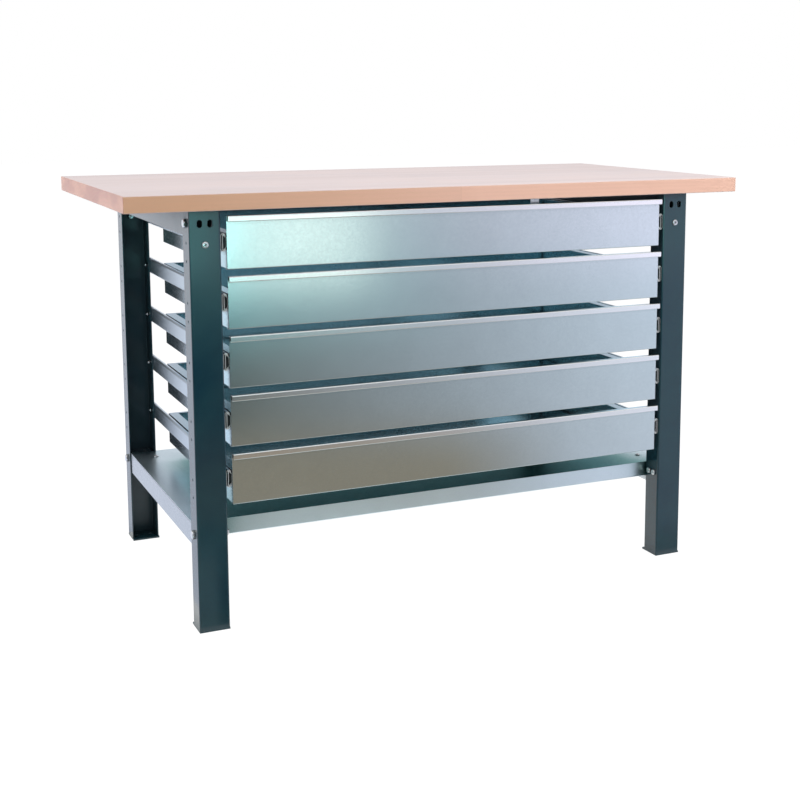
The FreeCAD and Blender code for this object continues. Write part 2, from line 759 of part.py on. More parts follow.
def tray_member():
    """Outline of the member fixed to the tray, which opens toward the leg."""
    back = "middle_web + slide_sheet + (sqrt(2) - 1) * middle_offset"
    sides = []
    for web, offset in (("slide_width", "member_offset"),
                        ("slide_width - slide_sheet", "member_offset + slide_sheet")):
        top = "slide_half - (%s)" % offset
        sides.append([(web, sloped(web, offset)),
                      ("slide_mouth - (sqrt(2) - 1) * (%s)" % offset, top), (back, top)])
    return tuple(sides)


def make_member(label, outlines, length, side, level, hole_lines=(), screw="0"):
    """Raise a symmetric slide section, drill its web and place it at a drawer."""
    outer, inner = outlines
    body = new_body("slide")
    section = new_sketch(body, "XZ_Plane")
    upper = outer + list(reversed(inner))
    below_outer = [(x, "0 - (%s)" % z) for x, z in outer]
    below_inner = [(x, "0 - (%s)" % z) for x, z in inner]
    outline(section, list(reversed(below_outer)) + upper + below_inner)
    pad(body, section, length, reverse=True)
    if hole_lines:
        holes = new_sketch(body, "YZ_Plane")
        for line in hole_lines:
            small_hole(holes, line, "0", screw)
        cut(body, holes, "4 * slide_width", symmetric=True)
    if side > 0:
        body.Placement = FreeCAD.Placement(FreeCAD.Vector(), FreeCAD.Rotation(ALONG_Y, 180))
    put(body, signed(side, "leg_inner"), "slide_setback - frame_front",
        "%s + slide_centre" % drawer_base(level))
    if label:
        keep(body, label)
    return body


def rivet_lines():
    """Distances of the tray rivets from the front end of the slide."""
    return ("rivet_end", "drawer_member_length - rivet_end")


def make_slides(level):
    """The pair of telescopic slides that carries one drawer."""
    middles = []
    for side_name, side in SIDES:
        make_member("slide_%d_leg_member_%s" % (level + 1, side_name), leg_member(),
                    "slide_length", side, level, ("front_line", "back_line"), "rail_screw")
        make_member("slide_%d_tray_member_%s" % (level + 1, side_name), tray_member(),
                    "drawer_member_length", side, level, rivet_lines(), "rivet")
        middles.append(make_member(None, middle_member(), "middle_length", side, level))
    pair = doc.addObject("Part::Compound", "middle_pair")
    pair.Links = middles
    keep(pair, "slide_%d_middle_members" % (level + 1))


def make_rivets(level):
    """Rivets that hold the tray between its slides."""
    grip = "slide_sheet + drawer_sheet"
    master = join("rivet", [
        step("rivet", "rivet_head", "0 - rivet_head_height", "rivet_head_height", SHANK_SIDES),
        step("rivet", "rivet", "0", "%s + rivet_tail" % grip, SHANK_SIDES)])
    seats = []
    for _, side in SIDES:
        for line in rivet_lines():
            seats.append(((-side, 0, 0), signed(side, "leg_inner - rivet_depth"),
                          "%s + slide_setback - frame_front" % line,
                          "%s + slide_centre" % drawer_base(level)))
    group("drawer_%d_rivets" % (level + 1), master, seats)


# ---------------------------------------------------------------- fasteners of the frame

def frame_seats():
    """Seats of the single bolts on the outer flanges: direction, place."""
    seats = []
    for _, side in SIDES:
        for _, end in ENDS:
            for height in ("top_underside - top_bolt_drop", "bottom_bolt_height"):
                seats.append(((side, 0, 0), signed(side, "leg_span / 2"),
                              end_line(end, "flange_line"), height))
    return seats


def side_seats():
    """Seats of the paired bottom bolts on the inner flanges: direction, place."""
    seats = []
    for _, side in SIDES:
        for _, end in ENDS:
            for sign in (-1, 1):
                line = end_line(end, "flange_line + %d * side_bolt_spacing / 2" % sign)
                seats.append(((-side, 0, 0), signed(side, "leg_inner"), line,
                              "bottom_bolt_height"))
    return seats


def web_seats():
    """Seats of the screws in the leg webs: direction, place."""
    return [((0, end, 0), signed(side, "leg_centre"), end_line(end, "0"),
             "top_underside - web_screw_drop")
            for _, side in SIDES for _, end in ENDS]


def rail_seats():
    """Seats of the rail screws, which face the drawers: direction, place."""
    seats = []
    for level in range(DRAWERS):
        for _, side in SIDES:
            for _, end in ENDS:
                seats.append(((-side, 0, 0), signed(side, "leg_inner - slide_sheet"),
                              end_line(end, "flange_line"),
                              "%s + slide_centre" % drawer_base(level)))
    return seats


def make_fasteners():
    """Bolts, nuts and screws of the frame, each kind in one group."""
    joint = "leg_sheet + stretcher_sheet"
    group("frame_bolts",
          hex_bolt("frame_bolt", "frame_bolt", "frame_bolt_flats", "frame_bolt_head",
                   joint + " + frame_nut + bolt_tail"), frame_seats())
    group("frame_nuts",
          hex_nut("frame_nut", "frame_bolt", "frame_bolt_flats",
                  "0 - (%s) - frame_nut" % joint, "frame_nut"), frame_seats())
    group("flange_bolts",
          hex_bolt("side_bolt", "side_bolt", "side_bolt_flats", "side_bolt_head",
                   joint + " + side_nut + bolt_tail"), side_seats())
    group("flange_nuts",
          hex_nut("side_nut", "side_bolt", "side_bolt_flats",
                  "0 - (%s) - side_nut" % joint, "side_nut"), side_seats())
    group("web_screws",
          flat_screw("web_screw", "side_bolt", "web_screw_head", "web_screw_head_height",
                     "web_screw_length", HEAD_SIDES), web_seats())
    group("rail_screws",
          flat_screw("rail_screw", "rail_screw", "rail_screw_head", "rail_screw_head_height",
                     "slide_sheet + leg_sheet + rail_screw_tail", SHANK_SIDES), rail_seats())
    group("shelf_screws",
          flat_screw("shelf_screw", "shelf_screw", "shelf_screw_head", "shelf_screw_head_height",
                     "shelf_sheet + stretcher_sheet + 2 * bolt_tail", HEAD_SIDES),
          [((0, 0, 1), signed(side, "leg_centre - shelf_screw_inset"), line, "shelf_height")
           for _, side in SIDES for line in shelf_screw_lines()])
    group("worktop_screws",
          flat_screw("wood_screw", "wood_screw", "wood_screw_head", "wood_screw_head_height",
                     "stretcher_sheet + wood_screw_grip", SHANK_SIDES),
          [((0, 0, -1), signed(side, "leg_centre"), line, "top_underside - stretcher_sheet")
           for _, side in SIDES for line in screw_lines()])


# ---------------------------------------------------------------- assembly

DRAWERS = int(value("drawer_count"))


def make_bench():
    """Model every sub-part."""
    make_worktop()
    make_frame()
    for level in range(DRAWERS):
        make_tray(level)
        make_front(level)
        make_slides(level)
        make_rivets(level)
    make_fasteners()


def check():
    """Stop if any object failed or any sub-part is empty or invalid."""
    for item in doc.Objects:
        if "Invalid" in item.State or "Error" in item.State:
            raise RuntimeError("%s (%s): %s" % (item.Name, item.Label, item.State))
    for node in nodes:
        if node.Shape.isNull() or not node.Shape.isValid() or not node.Shape.Solids:
            raise RuntimeError(node.Label + ": no valid solid")


make_bench()
doc.recompute()
check()
os.makedirs("parts", exist_ok=True)
for node in nodes:
    node.Shape.exportStep("parts/%s.step" % node.Label)
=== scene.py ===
"""Looks of the jeweller's workbench: finishes, fasteners in full detail, studio and camera.

Metres, in the frame of the bench: X along the bench, Y from front to back, Z up from the floor.
"""
import logging
import math
from collections.abc import Callable, Iterable
from dataclasses import dataclass
from enum import Enum

import bpy
from mathutils import Matrix, Vector


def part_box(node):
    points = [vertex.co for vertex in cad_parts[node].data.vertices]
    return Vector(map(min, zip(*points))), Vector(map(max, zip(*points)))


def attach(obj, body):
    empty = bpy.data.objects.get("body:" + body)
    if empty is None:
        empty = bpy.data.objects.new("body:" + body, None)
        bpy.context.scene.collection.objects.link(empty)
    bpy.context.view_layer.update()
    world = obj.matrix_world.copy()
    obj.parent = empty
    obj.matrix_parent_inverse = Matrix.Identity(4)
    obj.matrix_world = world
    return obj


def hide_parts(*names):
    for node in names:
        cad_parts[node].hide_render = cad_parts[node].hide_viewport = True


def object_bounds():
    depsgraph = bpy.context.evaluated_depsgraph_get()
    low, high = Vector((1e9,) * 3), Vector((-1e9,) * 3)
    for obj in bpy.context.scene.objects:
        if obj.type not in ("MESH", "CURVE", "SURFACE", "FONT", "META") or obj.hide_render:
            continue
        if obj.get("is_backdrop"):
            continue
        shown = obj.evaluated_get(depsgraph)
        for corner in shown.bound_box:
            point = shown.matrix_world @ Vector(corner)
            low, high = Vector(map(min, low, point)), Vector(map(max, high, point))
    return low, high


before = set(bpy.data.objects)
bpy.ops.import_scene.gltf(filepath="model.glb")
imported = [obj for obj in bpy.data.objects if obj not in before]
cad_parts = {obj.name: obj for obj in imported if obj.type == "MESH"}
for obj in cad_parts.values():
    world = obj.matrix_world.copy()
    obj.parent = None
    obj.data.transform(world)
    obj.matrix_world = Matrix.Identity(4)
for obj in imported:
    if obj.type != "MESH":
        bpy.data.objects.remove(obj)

LOG = logging.getLogger("bench")
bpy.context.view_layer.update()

Material = bpy.types.Material
Node = bpy.types.Node
Piece = bpy.types.Object
Socket = bpy.types.NodeSocket
Sockets = bpy.types.bpy_prop_collection
Tree = bpy.types.NodeTree
Number = float | Socket
Pair = tuple[float, float]
Triple = tuple[float, float, float]
Colour = tuple[float, float, float, float]
Values = tuple[tuple[str, float], ...]
Stops = tuple[tuple[float, Triple], ...]

LEVELS = (1, 2, 3, 4, 5)
SIDES = (("left", -1), ("right", 1))
ENDS = (("front", -1), ("rear", 1))
UP, DOWN, AHEAD = (0, 0, 1), (0, 0, -1), (0, -1, 0)
SMEARS: Pair = (0.3, 0.7)
BLACK, MIDDLE_GREY, WHITE = (0, 0, 0, 1), (0.5, 0.5, 0.5, 1), (1, 1, 1, 1)


class Slot(Enum):
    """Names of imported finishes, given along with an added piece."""

    ZINC = "zinc_fasteners"
    PAINT = "green_paint"
    NONE = ""


class Cut(Enum):
    """How one blank shapes another."""

    KEEP_INSIDE = "INTERSECT"
    TAKE_AWAY = "DIFFERENCE"
    ADD = "UNION"


class Angle(Enum):
    """The two angles at which a fixed point sees a place on a card."""

    BEARING = 0
    DIP = 1


# ---------------------------------------------------------------- node wiring

class Graph:
    """A shader node tree that is being wired."""

    def __init__(self, tree: Tree) -> None:
        """Take the tree to wire."""
        self.tree = tree

    def node(self, kind: str, inputs: dict | None = None, **settings: object) -> Node:
        """Add a node, set its options and feed its inputs.

        Args:
            kind: node type without its ShaderNode prefix.
            inputs: value or socket for each input, by name or number.
            settings: options of the node by attribute name.

        Returns:
            The new node.
        """
        made = self.tree.nodes.new("ShaderNode" + kind)
        for name, option in settings.items():
            setattr(made, name, option)
        self.feed(made, inputs or {})
        return made

    def feed(self, node: Node, inputs: dict) -> None:
        """Feed a node's inputs.

        Args:
            node: the node.
            inputs: value or socket for each input, by name or number.
        """
        for name, value in inputs.items():
            if isinstance(value, Socket):
                self.tree.links.new(value, node.inputs[name])
            else:
                node.inputs[name].default_value = value

    def group(self, tree: Tree, **values: float) -> Sockets:
        """Place a shared effect, set its inputs by name and give its outputs."""
        return self.node("Group", values, node_tree=tree).outputs

    def maths(self, operation: str, first: Number, second: Number = 0.0,
              clamp: bool = False) -> Socket:
        """Work out one sum, kept between 0 and 1 if clamped."""
        return self.node("Math", {0: first, 1: second}, operation=operation,
                         use_clamp=clamp).outputs[0]

    def times(self, first: Number, second: Number) -> Socket:
        """Multiply two numbers."""
        return self.maths("MULTIPLY", first, second)

    def plus(self, first: Number, second: Number, clamp: bool = False) -> Socket:
        """Add two numbers."""
        return self.maths("ADD", first, second, clamp)

    def blend(self, factor: Number, first: Colour | Socket, second: Colour | Socket,
              mode: str = "MIX") -> Socket:
        """Mix two colours, with the factor as the share of the second."""
        return self.node("Mix", {0: factor, 6: first, 7: second}, data_type="RGBA",
                         blend_type=mode).outputs[2]

    def shade(self, colour: Colour | Socket, tone: Number, share: float = 1.0) -> Socket:
        """Multiply a colour by a number, with a share of the change kept."""
        grey = self.node("CombineColor", {0: tone, 1: tone, 2: tone}).outputs[0]
        return self.blend(share, colour, grey, "MULTIPLY")

    def spread(self, value: Number, reach: Pair, result: Pair = (0, 1)) -> Socket:
        """Map a value from the range reach to the range result, kept within it."""
        return self.node("MapRange", {"Value": value, "From Min": reach[0], "From Max": reach[1],
                                      "To Min": result[0], "To Max": result[1]}).outputs[0]

    def place(self, stretch: Triple = (1, 1, 1)) -> Socket:
        """Give the point on the piece, stretched along X, Y and Z."""
        point = self.node("TexCoord").outputs["Object"]
        return self.node("Mapping", {"Vector": point, "Scale": stretch}).outputs[0]

    def split(self, vector: Socket) -> Sockets:
        """Split a vector into its X, Y and Z."""
        return self.node("SeparateXYZ", {0: vector}).outputs

    def facing(self) -> Sockets:
        """Give the X, Y and Z of the normal."""
        return self.split(self.node("NewGeometry").outputs["Normal"])

    def openness(self, distance: float, samples: int) -> Socket:
        """Give how open a point is within a distance: 1 in the open, 0 when shut in."""
        return self.node("AmbientOcclusion", {"Distance": distance}, samples=samples).outputs["AO"]

    def noise(self, point: Socket, scale: float, detail: float) -> Socket:
        """Give soft noise of 0 to 1, with scale features per metre and detail finer layers."""
        return self.node("TexNoise", {"Vector": point, "Scale": scale, "Detail": detail,
                                      "Roughness": 0.55}).outputs[0]

    def bump(self, height: Socket, strength: float, folds: Sockets,
             depth: float = 0.0002) -> Socket:
        """Raise relief of a depth in metres on the rounded normal."""
        return self.node("Bump", {"Strength": strength, "Distance": depth, "Height": height,
                                  "Normal": folds["Normal"]}).outputs[0]


def new_group(name: str, inputs: dict[str, float], outputs: dict[str, str]
              ) -> tuple[Graph, Node, Node]:
    """Start a shader node group.

    Args:
        name: name of the group.
        inputs: start value of each number that it takes.
        outputs: kind of each socket that it gives.

    Returns:
        The graph, its input node and its output node.
    """
    tree = bpy.data.node_groups.new(name, "ShaderNodeTree")
    for label, start in inputs.items():
        socket = tree.interface.new_socket(label, in_out="INPUT", socket_type="NodeSocketFloat")
        socket.default_value = start
    for label, kind in outputs.items():
        tree.interface.new_socket(label, in_out="OUTPUT", socket_type="NodeSocket" + kind)
    return Graph(tree), tree.nodes.new("NodeGroupInput"), tree.nodes.new("NodeGroupOutput")


class Effects:
    """Shader node groups that several finishes share, each built once."""

    def __init__(self) -> None:
        """Build the groups."""
        self.folds = self._folds()
        self.spangle = self._spangle()
        self.handling = self._handling()

    @staticmethod
    def _folds() -> Tree:
        """Round the normal over folds and edges, and mask them.

        Returns:
            The group.
        """
        graph, take, give = new_group("folds", {"Radius": 0.001, "Gain": 3.0},
                                      {"Mask": "Float", "Normal": "Vector"})
        rounded = graph.node("Bevel", {"Radius": take.outputs["Radius"]}, samples=6).outputs[0]
        plain = graph.node("NewGeometry").outputs["Normal"]
        match = graph.node("VectorMath", {0: rounded, 1: plain},
                           operation="DOT_PRODUCT").outputs["Value"]
        turned = graph.maths("SUBTRACT", 1.0, match)
        mask = graph.maths("MULTIPLY", turned, take.outputs["Gain"], clamp=True)
        graph.feed(give, {"Mask": mask, "Normal": rounded})
        return graph.tree

    @staticmethod
    def _spangle() -> Tree:
        """Zinc crystals: a tone for each flake, and the veins between flakes.

        Returns:
            The group.
        """
        graph, take, give = new_group("spangle", {"Flakes": 120.0, "Ragged": 0.004},
                                      {"Tone": "Float", "Vein": "Float"})
        point = graph.place()
        wander = graph.node("TexNoise", {"Vector": point, "Scale": 90.0,
                                         "Detail": 2.0}).outputs["Color"]
        shift = graph.node("VectorMath", {0: wander, "Scale": take.outputs["Ragged"]},
                           operation="SCALE").outputs[0]
        ragged = graph.node("VectorMath", {0: point, 1: shift}, operation="ADD").outputs[0]
        cells = {"Vector": ragged, "Scale": take.outputs["Flakes"]}
        flake = graph.node("TexVoronoi", cells).outputs["Color"]
        tone = graph.node("SeparateColor", {0: flake}).outputs[0]
        mottled = graph.plus(graph.times(tone, 0.7),
                             graph.times(graph.noise(point, 700.0, 2.0), 0.3), clamp=True)
        border = graph.node("TexVoronoi", cells, feature="DISTANCE_TO_EDGE").outputs["Distance"]
        graph.feed(give, {"Tone": mottled, "Vein": graph.spread(border, (0.0, 0.06), (1, 0))})
        return graph.tree

    @staticmethod
    def _handling() -> Tree:
        """Faint smears and dust that change how a surface shines.

        Returns:
            The group.
        """
        graph, take, give = new_group("handling", {"Size": 9.0, "Speck": 900.0},
                                      {"Smear": "Float", "Speck": "Float"})
        point = graph.place()
        smear = graph.node("TexNoise", {"Vector": point, "Scale": take.outputs["Size"],
                                        "Detail": 5.0, "Distortion": 0.6}).outputs[0]
        grit = graph.node("TexNoise", {"Vector": point, "Scale": take.outputs["Speck"],
                                       "Detail": 1.0}).outputs[0]
        graph.feed(give, {"Smear": smear, "Speck": graph.spread(grit, (0.66, 0.74))})
        return graph.tree


# ---------------------------------------------------------------- finishes

@dataclass(frozen=True, kw_only=True)
class Finish:
    """What every finish has: a name, the plain values of its shader, and its wiring."""

    name: str
    plain: Values

    def wire(self, graph: Graph, effects: Effects) -> dict[str, Socket]:
        """Wire the finish.

        Args:
            graph: the material's graph.
            effects: the shared node groups.

        Returns:
            What feeds each socket of the shader.
        """
        raise NotImplementedError

    def material(self, effects: Effects) -> Material:
        """Build the material.

        Args:
            effects: the shared node groups.

        Returns:
            The material.
        """
        material = bpy.data.materials.new(self.name)
        material.use_nodes = True
        graph = Graph(material.node_tree)
        shader = next(node for node in graph.tree.nodes if node.type == "BSDF_PRINCIPLED")
        graph.feed(shader, dict(self.plain))
        graph.feed(shader, self.wire(graph, effects))
        LOG.info("%s ready", self.name)
        return material


@dataclass(frozen=True, kw_only=True)
class Beech(Finish):
    """Oiled beech of long glued staves, with rings at the ends of the board; a painted sheen makes
    the top paler, and painted light makes the sides lighter to the right.
    """

    name: str = "oiled_beech"
    plain: Values = (("IOR", 1.46), ("Coat Weight", 0.6), ("Coat Roughness", 0.38))
    top_sheen: Colour = (0.60, 0.49, 0.47, 1)
    warm: Colour = (0.61, 0.335, 0.195, 1)
    right_light: Colour = (0.72, 0.435, 0.33, 1)
    right_light_reach: Pair = (-0.62, 0.05)
    ring: Colour = (0.50, 0.30, 0.19, 1)
    ends: Colour = (0.70, 0.365, 0.265, 1)
    rose: Colour = (0.45, 0.19, 0.15, 1)
    stave_width: float = 0.046
    stave_length: float = 0.93
    stagger: float = 0.37
    glue_line: float = 0.0004
    fibre_stretch: Triple = (5, 260, 260)
    fleck_stretch: Triple = (90, 1100, 700)
    fleck_range: Pair = (0.60, 0.72)
    fleck_share: float = 0.16
    figure_stretch: Triple = (1, 7, 16)
    figure_range: Pair = (0.42, 0.58)
    figure_shares: Pair = (0.6, 0.40)
    ring_shares: Pair = (0.10, 0.34)
    shades: Pair = (0.93, 1.05)
    glue_share: float = 0.35
    gloss: Pair = (0.34, 0.46)

    def wire(self, graph: Graph, effects: Effects) -> dict[str, Socket]:
        """Wire the staves, rings, fibres and flecks, and the painted sheen and light.

        Args:
            graph: the material's graph.
            effects: the shared node groups.

        Returns:
            What feeds each socket of the shader.
        """
        point = graph.place()
        rows = {"Vector": point, "Scale": 1.0, "Brick Width": self.stave_length,
                "Row Height": self.stave_width}
        staves = graph.node("TexBrick", rows | {
            "Color1": BLACK, "Color2": WHITE, "Mortar": MIDDLE_GREY, "Mortar Size": 0.0,
            "Bias": 0.0}, offset=self.stagger).outputs[0]
        tone = graph.node("SeparateColor", {0: staves}).outputs[0]
        joint = graph.node("TexBrick", rows | {"Mortar Size": self.glue_line,
                                               "Mortar Smooth": 0.4},
                           offset=self.stagger).outputs["Fac"]
        rings = self.rings(graph, point, tone)
        fibre = graph.noise(graph.place(self.fibre_stretch), 1.0, 4.0)
        fleck = graph.spread(graph.noise(graph.place(self.fleck_stretch), 1.0, 1.0),
                             self.fleck_range)
        normal = graph.facing()
        upward = graph.maths("ABSOLUTE", normal[2])
        endward = graph.maths("ABSOLUTE", normal[0])
        # Painted light: the sides turn lighter and pinker toward the right.
        along = graph.split(point)[0]
        side = graph.blend(graph.spread(along, self.right_light_reach), self.warm, self.right_light)
        # Painted sheen: faces that point up take a paler tone than the sides.
        colour = graph.blend(upward, side, self.top_sheen)
        figure = graph.spread(graph.noise(graph.place(self.figure_stretch), 1.0, 2.0),
                              self.figure_range, (0, self.figure_shares[0]))
        figure = graph.plus(figure, graph.times(tone, self.figure_shares[1]))
        colour = graph.blend(endward, colour, graph.blend(figure, self.ends, self.rose))
        dark = graph.times(rings, graph.spread(endward, (0, 1), self.ring_shares))
        colour = graph.blend(dark, colour, self.ring)
        colour = graph.blend(graph.times(fleck, self.fleck_share), colour, self.ring)
        colour = graph.shade(colour, graph.spread(
            graph.plus(graph.times(tone, 0.6), graph.times(fibre, 0.4)), (0.1, 0.9), self.shades))
        colour = graph.blend(graph.times(joint, self.glue_share), colour, self.ring)
        wear = graph.group(effects.handling, Size=5.0, Speck=600.0)
        folds = graph.group(effects.folds, Radius=0.0016, Gain=2.0)
        grain = graph.maths("SUBTRACT", graph.times(fibre, 0.3), joint)
        return {"Base Color": colour,
                "Roughness": graph.spread(wear["Smear"], SMEARS, self.gloss),
                "Normal": graph.bump(grain, 0.25, folds)}

    @staticmethod
    def rings(graph: Graph, point: Socket, tone: Socket) -> Socket:
        """Give year rings round a log that lies along X, moved sideways for each stave.

        Args:
            graph: the material's graph.
            point: the point on the board.
            tone: a value of its own for each stave.

        Returns:
            The socket of the rings, from 0 to 1.
        """
        moved = graph.node("CombineXYZ", {1: graph.times(tone, 0.31),
                                          2: graph.times(tone, 0.17)}).outputs[0]
        log_point = graph.node("VectorMath", {0: point, 1: moved}, operation="ADD").outputs[0]
        lean = graph.node("Mapping", {"Vector": log_point, "Location": (0, 0.05, 0.06),
                                      "Scale": (0.06, 1, 1)}).outputs[0]
        return graph.node("TexWave", {"Vector": lean, "Scale": 34.0, "Distortion": 3.2,
                                      "Detail": 2.5, "Detail Scale": 1.4},
                          wave_type="RINGS", rings_direction="X").outputs["Fac"]


@dataclass(frozen=True, kw_only=True)
class Enamel(Finish):
    """Dark green gloss paint with a faint ripple, a painted highlight over the folds, and painted
    shade and duller gloss in hollows.
    """

    name: str = "green_enamel"
    plain: Values = (("IOR", 1.46), ("Coat Roughness", 0.08))
    deep: Colour = (0.003, 0.027, 0.044, 1)
    thin: Colour = (0.006, 0.040, 0.053, 1)
    # Tone of the painted highlight over folds, and of the dust specks.
    fold: Colour = (0.04, 0.10, 0.115, 1)
    fold_highlight_share: float = 0.7
    speck_share: float = 0.25
    hollow_reach: float = 0.10
    hollow_shade_share: float = 0.25
    ripple: float = 260.0
    gloss: Pair = (0.13, 0.22)
    dulled: float = 0.6
    coat: float = 0.35

    def wire(self, graph: Graph, effects: Effects) -> dict[str, Socket]:
        """Wire the paint, its gloss and its ripple, with a painted highlight over folds and painted
        shade in hollows.

        Args:
            graph: the material's graph.
            effects: the shared node groups.

        Returns:
            What feeds each socket of the shader.
        """
        wear = graph.group(effects.handling, Size=7.0, Speck=1100.0)
        folds = graph.group(effects.folds, Radius=0.0018, Gain=3.0)
        smear = wear["Smear"]
        colour = graph.blend(graph.spread(smear, SMEARS), self.deep, self.thin)
        # Painted highlight over folds and edges, then lighter dust specks.
        colour = graph.blend(graph.times(folds["Mask"], self.fold_highlight_share), colour, self.fold)
        colour = graph.blend(graph.times(wear["Speck"], self.speck_share), colour, self.fold)
        # Painted shade in hollows, where the gloss is also dulled and the coat taken off.
        hollow = graph.openness(self.hollow_reach, 6)
        return {"Base Color": graph.shade(colour, hollow, self.hollow_shade_share),
                "Roughness": graph.plus(graph.spread(smear, (0.25, 0.75), self.gloss),
                                        graph.spread(hollow, (0.15, 0.7), (self.dulled, 0.0))),
                "Normal": graph.bump(graph.noise(graph.place(), self.ripple, 1.0), 0.12, folds),
                "Coat Weight": graph.spread(hollow, (0.2, 0.7), (0.0, self.coat))}


@dataclass(frozen=True, kw_only=True)
class Zinc(Finish):
    """Zinc-coated steel, from hot-dipped sheet with crystals to bright plated hardware.

    The fold is the radius of edges, which carry a painted highlight. Faces ahead of a given Y and
    faces that look ahead also get a painted highlight. Crevices get painted shade, and so do points
    shut in within a given reach, as a tint.
    """

    plain: Values = (("Metallic", 1.0),)
    light: Colour
    dark: Colour
    gloss: Pair
    flakes: float = 260.0
    contrast: float = 0.25
    fold: float = 0.0008
    speck: float = 330.0
    relief: float = 0.03
    highlight_ahead_y: float = -1.0
    end_highlight: float = 0.0
    wear_and_highlight: Colour = (1.0, 0.99, 0.98, 1)
    shade_tint: Colour = WHITE
    shade_reach: float = 0.45
    shade_range: Pair = (0.15, 0.60)
    crevice_shade_reach: float = 0.012
    crevice_shade_range: Pair = (0.42, 0.88)
    highlight_ahead_depth: float = 0.0006
    highlight_ahead_share: float = 0.85
    end_highlight_facing: Pair = (-0.97, -0.85)
    end_dull: float = 0.45

    def wire(self, graph: Graph, effects: Effects) -> dict[str, Socket]:
        """Wire the crystals, the painted highlights and painted shade, and the shine.

        Args:
            graph: the material's graph.
            effects: the shared node groups.

        Returns:
            What feeds each socket of the shader.
        """
        crystals = graph.group(effects.spangle, Flakes=self.flakes, Ragged=0.004)
        wear = graph.group(effects.handling, Size=11.0, Speck=self.speck)
        folds = graph.group(effects.folds, Radius=self.fold, Gain=4.0)
        tone, smear = crystals["Tone"], wear["Smear"]
        relief = graph.times(tone, self.contrast)
        mottle = graph.plus(relief, graph.times(wear["Speck"], 0.3), clamp=True)
        mottle = graph.plus(mottle, graph.times(crystals["Vein"], 0.3 * self.contrast),
                            clamp=True)
        colour = graph.blend(mottle, self.light, self.dark)
        colour = graph.shade(colour, graph.spread(smear, SMEARS, (0.98, 1.02)))
        # Painted highlight over folds: a paler copy of the light tone.
        bright = tuple(min(1.0, 1.25 * part) for part in self.light[:3]) + (1,)
        colour = graph.blend(graph.times(folds["Mask"], 0.6), colour, bright)
        # Painted highlight on faces ahead of a given Y, such as the grip's face.
        ahead = graph.split(graph.place())[1]
        highlight_ahead = graph.spread(ahead, (self.highlight_ahead_y - self.highlight_ahead_depth, self.highlight_ahead_y),
                              (self.highlight_ahead_share, 0))
        # Faces that look ahead get a painted highlight too.
        cut = graph.spread(graph.facing()[1], self.end_highlight_facing, (self.end_highlight, 0))
        colour = graph.blend(graph.maths("MAXIMUM", highlight_ahead, cut), colour, self.wear_and_highlight)
        # Painted shade in crevices, such as under the grip.
        crevice_shade = graph.openness(self.crevice_shade_reach, 4)
        colour = graph.shade(colour, graph.spread(crevice_shade, self.crevice_shade_range, (0.1, 1.0)))
        # A tint of painted shade where the sheet is shut in.
        if min(self.shade_tint) < 1.0:
            painted_shade = graph.spread(graph.openness(self.shade_reach, 8), self.shade_range, (1, 0))
            colour = graph.blend(painted_shade, colour,
                                 graph.blend(1.0, colour, self.shade_tint, "MULTIPLY"))
        grain = graph.plus(graph.times(tone, 0.8), graph.times(smear, 0.2))
        return {"Base Color": colour,
                "Roughness": graph.plus(graph.spread(grain, (0.2, 0.8), self.gloss),
                                        graph.times(cut, self.end_dull)),
                "Normal": graph.bump(relief, self.relief, folds)}


@dataclass(frozen=True, kw_only=True)
class Nylon(Finish):
    """Black moulded nylon with a fine matt grain."""

    name: str = "black_nylon"
    plain: Values = (("IOR", 1.50),)
    black: Colour = (0.008, 0.010, 0.012, 1)
    scuff: Colour = (0.030, 0.032, 0.034, 1)
    gloss: Pair = (0.42, 0.58)

    def wire(self, graph: Graph, effects: Effects) -> dict[str, Socket]:
        """Wire the scuffs and the grain.

        Args:
            graph: the material's graph.
            effects: the shared node groups.

        Returns:
            What feeds each socket of the shader.
        """
        wear = graph.group(effects.handling, Size=120.0, Speck=2500.0)
        folds = graph.group(effects.folds, Radius=0.0005, Gain=3.0)
        wear_and_highlight = graph.maths("MAXIMUM", folds["Mask"], wear["Speck"])
        return {"Base Color": graph.blend(graph.times(wear_and_highlight, 0.6), self.black, self.scuff),
                "Roughness": graph.spread(wear["Smear"], SMEARS, self.gloss),
                "Normal": graph.bump(graph.noise(graph.place(), 3000.0, 1.0), 0.2, folds, 0.0001)}


